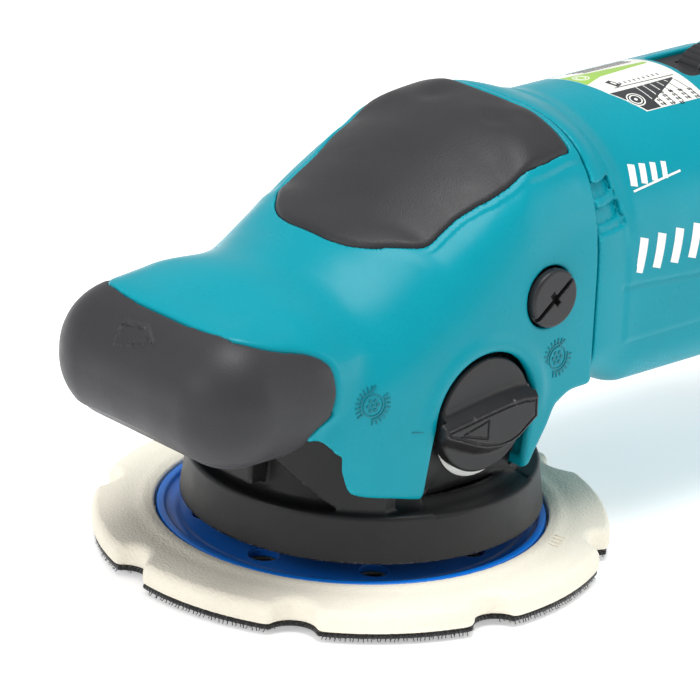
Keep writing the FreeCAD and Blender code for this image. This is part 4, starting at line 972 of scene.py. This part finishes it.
FORMS = [
    # piece, CAD node, body, slot, material, field, low corner, high corner, cell
    ("head_shell", "head_cover", "root", "teal_shell", TEAL,
     head_cover, (-50, -92, 26), (50, 48, 130), 0.8),
    ("front_grip_skin", "front_grip", "root", "black_rubber", RUBBER,
     front_grip, (-46, -93, 46), (46, -44, 95), 0.8),
    ("crown_cap_skin", "top_cap", "root", "black_rubber", CAP_RUBBER,
     top_cap, (-36, -27, 86), (36, 46, 131), 0.7),
    ("motor_barrel", "motor_housing", "root", "teal_shell", TEAL,
     motor_housing, (-48, 46, 42), (48, 154, 130), 0.9),
    ("pad_shroud", "skirt", "root", "black_plastic", SHROUD_PAINTED_SHADE,
     skirt, (-54, -54, 13), (54, 54, 72), 0.7),
    ("mode_lever_knob", "mode_knob", "knob", "black_plastic", KNOB_BLACK,
     knob, (33, -16, 32), (51, 25, 72), 0.35),
    ("mode_mark_ring", "mode_ring", "root", "white_plastic", WHITE,
     crescent, (38, -13, 29), (42, 25, 66), 0.35),
    ("pad_foam_disc", "pad_foam", "pad", "cream_foam", FOAM,
     foam, (-79, -78, 1), (74, 76, 13), 0.8),
    ("pad_hub_dish", "pad_hub", "pad", "blue_plastic", BLUE,
     hub, (-60, -59, 4), (54, 56, 16), 0.55),
    ("hook_disc", "hook_layer", "pad", "hook_fabric", HOOKS,
     hook_disc, (-79, -78, 0.5), (74, 76, 3.5), 0.6),
    ("handle_shell_left", "handle_left", "root", "teal_shell", TEAL,
     handle_left, (-1, 150, 34), (46, 290, 136), 1.0),
    ("handle_shell_right", "handle_right", "root", "teal_shell", TEAL,
     handle_right, (-46, 150, 34), (1, 290, 136), 1.0),
    ("handle_band", "handle_grip", "root", "black_rubber", RUBBER,
     handle_grip, (-40, 183, 50), (40, 252, 124), 0.7),
    ("trigger_lever", "trigger", "trigger", "black_plastic", BLACK,
     trigger, (-11, 174, 46), (11, 242, 68), 0.5),
    ("lock_plunger", "lock_button", "lock_button", "black_plastic", BLACK,
     lock_button, (24, 168, 70), (40, 188, 90), 0.35),
    ("dial_wheel", "speed_dial", "speed_dial", "black_plastic", BLACK,
     speed_dial, (-7, 118, 101), (7, 146, 128), 0.35),
    ("pack_case", "battery_case", "battery", "black_plastic", BLACK,
     battery_case, (-40, 296, 28), (40, 345, 147), 0.9),
    ("pack_cover", "battery_cover", "battery", "black_plastic", BLACK,
     battery_cover, (-40, 276, 28), (40, 303, 147), 0.9),
    ("pack_latch", "battery_latch", "battery_latch", "red_plastic", RED,
     battery_latch, (-20, 274, 127), (20, 300, 148), 0.5),
    ("pack_button", "charge_button", "charge_button", "black_plastic", BLACK,
     charge_button, (6, 336, 52), (18, 345, 64), 0.3),
]
made = {}
for name, node, body, slot, material, field, low, high, cell in FORMS:
    made[name] = shell(name, field, low, high, cell)
    keep(made[name], body, slot, material, node)

made["slot_plug_near"] = shell("slot_plug_near", plug, (38, 16, 72), (49, 38, 94), 0.3)
made["slot_plug_far"] = shell("slot_plug_far", plug_far, (-49, 16, 72), (-38, 38, 94), 0.3)
keep(made["slot_plug_near"], "root", "black_plastic", BLACK, "slotted_plugs")
keep(made["slot_plug_far"], "root", "black_plastic", BLACK)


def rim_painted_light(p):
    r = np.hypot(p[:, 0] - PAD[0], p[:, 1] - PAD[1])
    return (r > 53.6) & (p[:, 2] > 6.2)


# The hub's rim faces get the brighter blue: painted light.
second_finish(made["pad_hub_dish"], RIM_BLUE_PAINTED_LIGHT, rim_painted_light)


# Loops of the hook fabric, seen as a fringe at the disc's edge.
def bristles(name, count, seed):
    rng = np.random.default_rng(seed)
    ring = np.array([(1, 0), (0.31, 0.95), (-0.81, 0.59), (-0.81, -0.59), (0.31, -0.95)])
    verts = []
    faces = []
    for i in range(count):
        angle = 2 * math.pi * (i + rng.uniform(-0.4, 0.4)) / count
        row = i % 3
        r = 73.6 - 1.7 * row + rng.uniform(-0.4, 0.3)
        if notch(np.array([r]), np.array([angle]), 76.4, 8.4)[0] < 0:
            r = r - 7.5
            if notch(np.array([r]), np.array([angle]), 76.4, 7.6)[0] < 0:
                continue
        lean = rng.uniform(-0.35, 0.35)
        out = np.array([math.cos(angle), math.sin(angle), 0])
        along = np.array([-out[1], out[0], 0])
        root = np.array([PAD[0], PAD[1], 1.4]) + out * r
        path = [root, root + along * lean * 0.4 + np.array([0, 0, -0.75]),
                root + along * lean + out * 0.25 + np.array([0, 0, -1.15]),
                root + along * lean + out * 0.62 + np.array([0, 0, -0.95])]
        start = len(verts)
        for k, centre in enumerate(path):
            radius = (0.15, 0.14, 0.13, 0.09)[k]
            side = along
            other = out if k < 2 else np.array([0, 0, 1.0])
            verts += [centre + radius * (a * side + b * other) for a, b in ring]
        for k in range(3):
            for j in range(5):
                a = start + 5 * k + j
                b = start + 5 * k + (j + 1) % 5
                faces.append((a, b, b + 5, a + 5))
        faces.append(tuple(start + j for j in range(4, -1, -1)))
        faces.append(tuple(start + 15 + j for j in range(5)))
    mesh = bpy.data.meshes.new(name)
    mesh.from_pydata((np.array(verts) * MM).tolist(), [], faces)
    mesh.update()
    mesh.shade_smooth()
    return add_object(name, mesh)


keep(bristles("hook_fringe", 1100, 5), "pad", "hook_fabric", BRISTLE)


# ---- printed marks, and raised marks in a painted-shade teal ------------------------

def plates(name, grids, place, thick, sink=0.2):
    """Thin closed plates over grids of surface coordinates, laid by place(u, v, height), as one piece."""
    verts = []
    faces = []
    for grid, closed in grids:
        n, m = grid.shape[:2]
        flat = grid.reshape(-1, 2)
        base = sum(len(part) for part in verts)
        verts += [place(flat[:, 0], flat[:, 1], thick), place(flat[:, 0], flat[:, 1], -sink)]
        for i in range(n if closed else n - 1):
            a, b = base + i * m, base + ((i + 1) % n) * m
            for j in range(m - 1):
                upper = (a + j, b + j, b + j + 1, a + j + 1)
                faces.append(upper)
                faces.append(tuple(corner + n * m for corner in (upper[0], upper[3], upper[2], upper[1])))
            e, f = a + m - 1, b + m - 1
            faces.append((a, a + n * m, b + n * m, b))
            faces.append((e, f, f + n * m, e + n * m))
        if not closed:
            for j in range(m - 1):
                a, b = base + j, base + (n - 1) * m + j
                faces.append((a, a + 1, a + 1 + n * m, a + n * m))
                faces.append((b, b + n * m, b + 1 + n * m, b + 1))
    mesh = bpy.data.meshes.new(name)
    mesh.from_pydata((np.concatenate(verts) * MM).tolist(), [], faces)
    mesh.update()
    mesh_faces = bmesh.new()
    mesh_faces.from_mesh(mesh)
    bmesh.ops.recalc_face_normals(mesh_faces, faces=mesh_faces.faces)
    mesh_faces.to_mesh(mesh)
    mesh_faces.free()
    return add_object(name, mesh)


def hoop(cu, cv, inner, outer, start=0.0, sweep=360.0, n=28):
    """Grid over a ring or part of one."""
    whole = sweep >= 360
    angle = np.radians(start + sweep * np.arange(n) / (n if whole else n - 1))[:, None]
    r = np.array([inner, outer])[None, :]
    return np.stack(np.broadcast_arrays(cu + r * np.cos(angle), cv + r * np.sin(angle)), -1)


def on_barrel(u, v, height):
    """u is the arc across the top of the barrel, +X positive; v is Y."""
    angle = u / BARREL
    r = BARREL + 0.5 + height
    return np.stack([r * np.sin(angle), v, BARREL_AXIS + r * np.cos(angle)], -1)


def bar(start, end, half):
    """Grid over a straight stroke between two surface points."""
    start, end = np.array(start, float), np.array(end, float)
    along = (end - start) / np.linalg.norm(end - start)
    side = np.array([-along[1], along[0]]) * half
    t = np.linspace(0, 1, 6)[:, None, None]
    centre = start + (end - start) * t
    return np.concatenate([centre + side, centre - side], axis=1), False


def ring(cu, cv, inner, outer):
    return hoop(cu, cv, inner, outer), True


def arc(cu, cv, inner, outer, start, sweep):
    return hoop(cu, cv, inner, outer, start, sweep, 18), False


def dot(cu, cv, radius):
    return hoop(cu, cv, 0.02, radius, n=12), True


def area(edge_a, edge_b, n=14, m=8):
    """Grid between two polylines given as lists of corners with matching counts."""
    t = np.linspace(0, 1, n)
    sides = []
    for edge in (edge_a, edge_b):
        edge = np.array(edge, float)
        at = np.linspace(0, 1, len(edge))
        sides.append(np.stack([np.interp(t, at, edge[:, 0]), np.interp(t, at, edge[:, 1])], -1))
    w = np.linspace(0, 1, m)[None, :, None]
    return sides[0][:, None, :] * (1 - w) + sides[1][:, None, :] * w, False


# Speed label: u runs across the barrel's top, v along it.
LABEL_FRONT = [(-14, 79.2), (-5, 79.6), (1.7, 80.2), (8.8, 81.8), (14, 84.6), (19.6, 87.6)]
LABEL_BACK = [(u, 111.6) for u, _ in LABEL_FRONT]
film = [area(LABEL_FRONT, LABEL_BACK, 40, 12)]
keep(plates("label_film", film, on_barrel, 0.10), "root", "label_film", FILM, "speed_label")
green = [area([(-9.2, 79.5), (-4, 79.7), (1.5, 80.3)], [(-7.2, 90), (-4.5, 90), (-2.0, 89)], 16, 8),
         area([(-7.2, 90), (-2.0, 89)], [(-5.2, 110), (-3.8, 110)], 6, 12)]
keep(plates("label_green_band", green, on_barrel, 0.15), "root", "label_film", GREEN_INK)
dark = [area([(8.9, 82.2), (14, 85), (19.3, 88)], [(8.9, 93), (14, 93), (19.3, 93.6)], 16, 8),
        area([(8.9, 93), (16.5, 93)], [(8.5, 107.8), (9.2, 107.8)], 8, 14)]
for row in range(5):
    v = 94.6 + 3.4 * row
    for column in range(4):
        u = 12.6 + 0.16 * (v - 94) + 1.75 * column
        if u < 19.2:
            dark += [bar((u, v), (u + 1.0, v + 0.3), 0.22), bar((u, v + 0.85), (u + 1.0, v + 1.15), 0.22)]
for line in range(4):
    dark.append(bar((-12.9 + 1.3 * line, 86 + line), (-12.5 + 1.3 * line, 108), 0.22))
for tick in range(9):
    dark.append(bar((4.6, 90 + 1.9 * tick), (5.7, 90 + 1.9 * tick), 0.2))
dark += [bar((2.4, 87.2), (6.4, 88.6), 1.1), bar((6.9, 86), (7.4, 109.5), 0.14)]
dark += [bar((9.6, 94.2 + 3.4 * k), (19.2, 96.2 + 3.4 * k), 0.10) for k in range(5)]
keep(plates("label_print", dark, on_barrel, 0.18), "root", "label_film", INK)
white = [ring(14.2, 87.8, 1.7, 2.1), ring(14.2, 87.8, 2.6, 3.0), dot(14.2, 87.8, 0.6)]
white += [ring(-4.4, 83.4, 1.3, 1.7), ring(-4.4, 83.4, 2.2, 2.6), bar((3.5, 87.7), (5.3, 88.3), 0.35)]
white += [bar((9.1, 92.5 + 2.9 * k), (15.6 - 1.35 * k, 93.1 + 2.9 * k), 0.14) for k in range(5)]
keep(plates("label_icons", white, on_barrel, 0.22), "root", "label_film", FILM)


# Plain slanted stripes and a rule on the barrel's flank.
def stripe(u, v, length, half):
    return bar((u, v), (u - length, v + 0.32 * length), half)


stripes = [stripe(41.2, 67.5 + 4.2 * k, 6.4 - 0.5 * k, 1.25 - 0.12 * k) for k in range(4)]
stripes += [bar((42.6, 66.6), (40.2, 86.6), 0.32)]
stripes += [stripe(65.6, 63.5 + 7.2 * k, 9.5, 1.6) for k in range(4)]
keep(plates("flank_stripes", stripes, on_barrel, 0.12), "root", "white_plastic", WHITE)


def surface(field, place, count, low, high, halvings):
    """Where a field changes sign between two levels of the coordinate that place fills in."""
    low = np.full(count, low)
    high = np.full(count, high)
    for _ in range(halvings):
        mid = (low + high) / 2
        inside = field(place(mid)) < 0
        low = np.where(inside, mid, low)
        high = np.where(inside, high, mid)
    return low


def on_head(u, v, height):
    """u is Y and v is Z on the +X flank of the head shell."""
    level = surface(head, lambda x: np.stack([x, u, v], -1), len(u), 30.0, 55.0, 26)
    return np.stack([level + height, u, v], -1)


def on_far_head(u, v, height):
    return on_head(u, v, height) * np.array([-1.0, 1.0, 1.0])


def pad_icon(cy, cz, size, gap):
    """Generic sanding disc: a holed centre inside two toothed arcs."""
    grids = [ring(cy, cz, 0.50 * size, 0.57 * size)]
    grids += [dot(cy + 0.27 * size * math.cos(a), cz + 0.27 * size * math.sin(a), 0.10 * size)
              for a in [math.radians(60 * k) for k in range(6)]]
    grids.append(dot(cy, cz, 0.09 * size))
    for k in range(24):
        turn = 15.0 * k
        if abs((turn - gap + 90) % 180 - 90) > 26:
            a = math.radians(turn)
            c, s = math.cos(a), math.sin(a)
            root = (cy + 0.70 * size * c, cz + 0.70 * size * s)
            grids.append(bar(root, (cy + 0.96 * size * c, cz + 0.96 * size * s), 0.035 * size))
    grids += [arc(cy, cz, 0.66 * size, 0.72 * size, gap + begin, 128) for begin in (26, 206)]
    tip = math.radians(gap + 14)
    c, s = math.cos(tip), math.sin(tip)
    root = (cy + 0.5 * size * c - 0.22 * size, cz + 0.72 * size * s + 0.1)
    grids.append(bar(root, (cy + 0.78 * size * c, cz + 0.98 * size * s), 0.05 * size))
    return grids


icons = pad_icon(-37.0, 64.3, 5.9, 60) + pad_icon(31.3, 63.7, 6.1, 40)
icons += [bar((-23.4, 53.6), (-17.0, 52.4), 0.16), dot(-16.2, 52.2, 0.5)]
# The icon plates are darker teal: painted shade for the moulded relief.
keep(plates("head_marks_painted_shade_near", icons, on_head, 0.22, 0.4), "root", "teal_shell", TEAL_MARK_PAINTED_SHADE)
keep(plates("head_marks_painted_shade_far", icons, on_far_head, 0.22, 0.4), "root", "teal_shell", TEAL_MARK_PAINTED_SHADE)


# Moulded size mark on the foam's upper face.
def on_foam(u, v, height):
    r = 62.5 + v
    a = math.radians(28) + u / 62.5
    x, y = PAD[0] + r * np.cos(a), PAD[1] + r * np.sin(a)
    level = surface(foam, lambda z: np.stack([x, y, z], -1), len(x), 6.0, 16.0, 24)
    return np.stack([x, y, level + height], -1)


raised = [bar((-3 + 2.2 * k, -1.6), (-3 + 2.2 * k, 1.6), 0.42) for k in range(4)]
keep(plates("foam_mark", raised, on_foam, 0.3, 0.4), "pad", "cream_foam", FOAM)


# ---- CAD parts that stay ------------------------------------------------------------

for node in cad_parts.values():
    current = node.material_slots[0].material.name.split(".")[0] if node.material_slots else ""
    chosen = FINISH.get(current, DARK_STEEL)
    node.data.materials.clear()
    node.data.materials.append(chosen)


# ---- floor, light and camera --------------------------------------------------------

def floor_paint():
    m = Paint("floor_paper", Roughness=0.9, Emission_Color=(1, 1, 1, 1), Emission_Strength=0.42)
    white = linear((249, 249, 249))
    m.colour(m.ramp(m.noise(1.5, 2), [(0.3, shade(white, 0.99)), (0.7, shade(white, 1.0))]))
    return m.material


FLOOR_HALF = 6.0
FLOOR_LEVEL = -0.0006
floor_mesh = bpy.data.meshes.new("floor")
corners = [(FLOOR_HALF * a, FLOOR_HALF * b, FLOOR_LEVEL) for a, b in ((-1, -1), (1, -1), (1, 1), (-1, 1))]
floor_mesh.from_pydata(corners, [], [(0, 1, 2, 3)])
floor = add_object("floor", floor_mesh)
floor_mesh.materials.append(floor_paint())

world = bpy.data.worlds.new("studio")
bpy.context.scene.world = world
world.use_nodes = True
sky = world.node_tree.nodes["Background"]
sky.inputs["Color"].default_value = (1.0, 1.0, 1.0, 1.0)
sky.inputs["Strength"].default_value = 0.5


def softbox(name, spot, target, size, power):
    data = bpy.data.lights.new(name, "AREA")
    data.shape = "RECTANGLE"
    data.size, data.size_y = size
    data.energy = power
    lamp = add_object(name, data)
    lamp.location = spot
    lamp.rotation_euler = (Vector(target) - Vector(spot)).to_track_quat("-Z", "Y").to_euler()


middle = (0.0, 0.06, 0.07)
softbox("top", (0.08, -0.12, 1.25), middle, (0.75, 0.75), 13)
softbox("side", (1.0, 0.95, 0.35), middle, (0.35, 0.8), 3.2)
softbox("front", (-0.25, -1.35, 0.75), middle, (0.8, 0.6), 6)

back = Vector((0.6834, -0.6324, 0.3647)).normalized()
turn = math.radians(47.223)
roll = math.radians(2.802)
level = Vector((math.cos(turn), math.sin(turn), 0))
rise = back.cross(level)
across = math.cos(roll) * level + math.sin(roll) * rise
upward = -math.sin(roll) * level + math.cos(roll) * rise
aim = Vector((-18.975, 10.604, 50.0)) * MM
CAMERA_DISTANCE = 1531.45 * MM
spot = aim + back * CAMERA_DISTANCE
lens = bpy.data.cameras.new("camera")
lens.lens = 271.72
lens.sensor_width = 36.0
lens.clip_end = 50
camera = add_object("camera", lens)
camera.matrix_world = Matrix(((across.x, upward.x, back.x, spot.x), (across.y, upward.y, back.y, spot.y),
                              (across.z, upward.z, back.z, spot.z), (0, 0, 0, 1)))
bpy.context.scene.camera = camera
bpy.context.scene.view_settings.view_transform = "Standard"
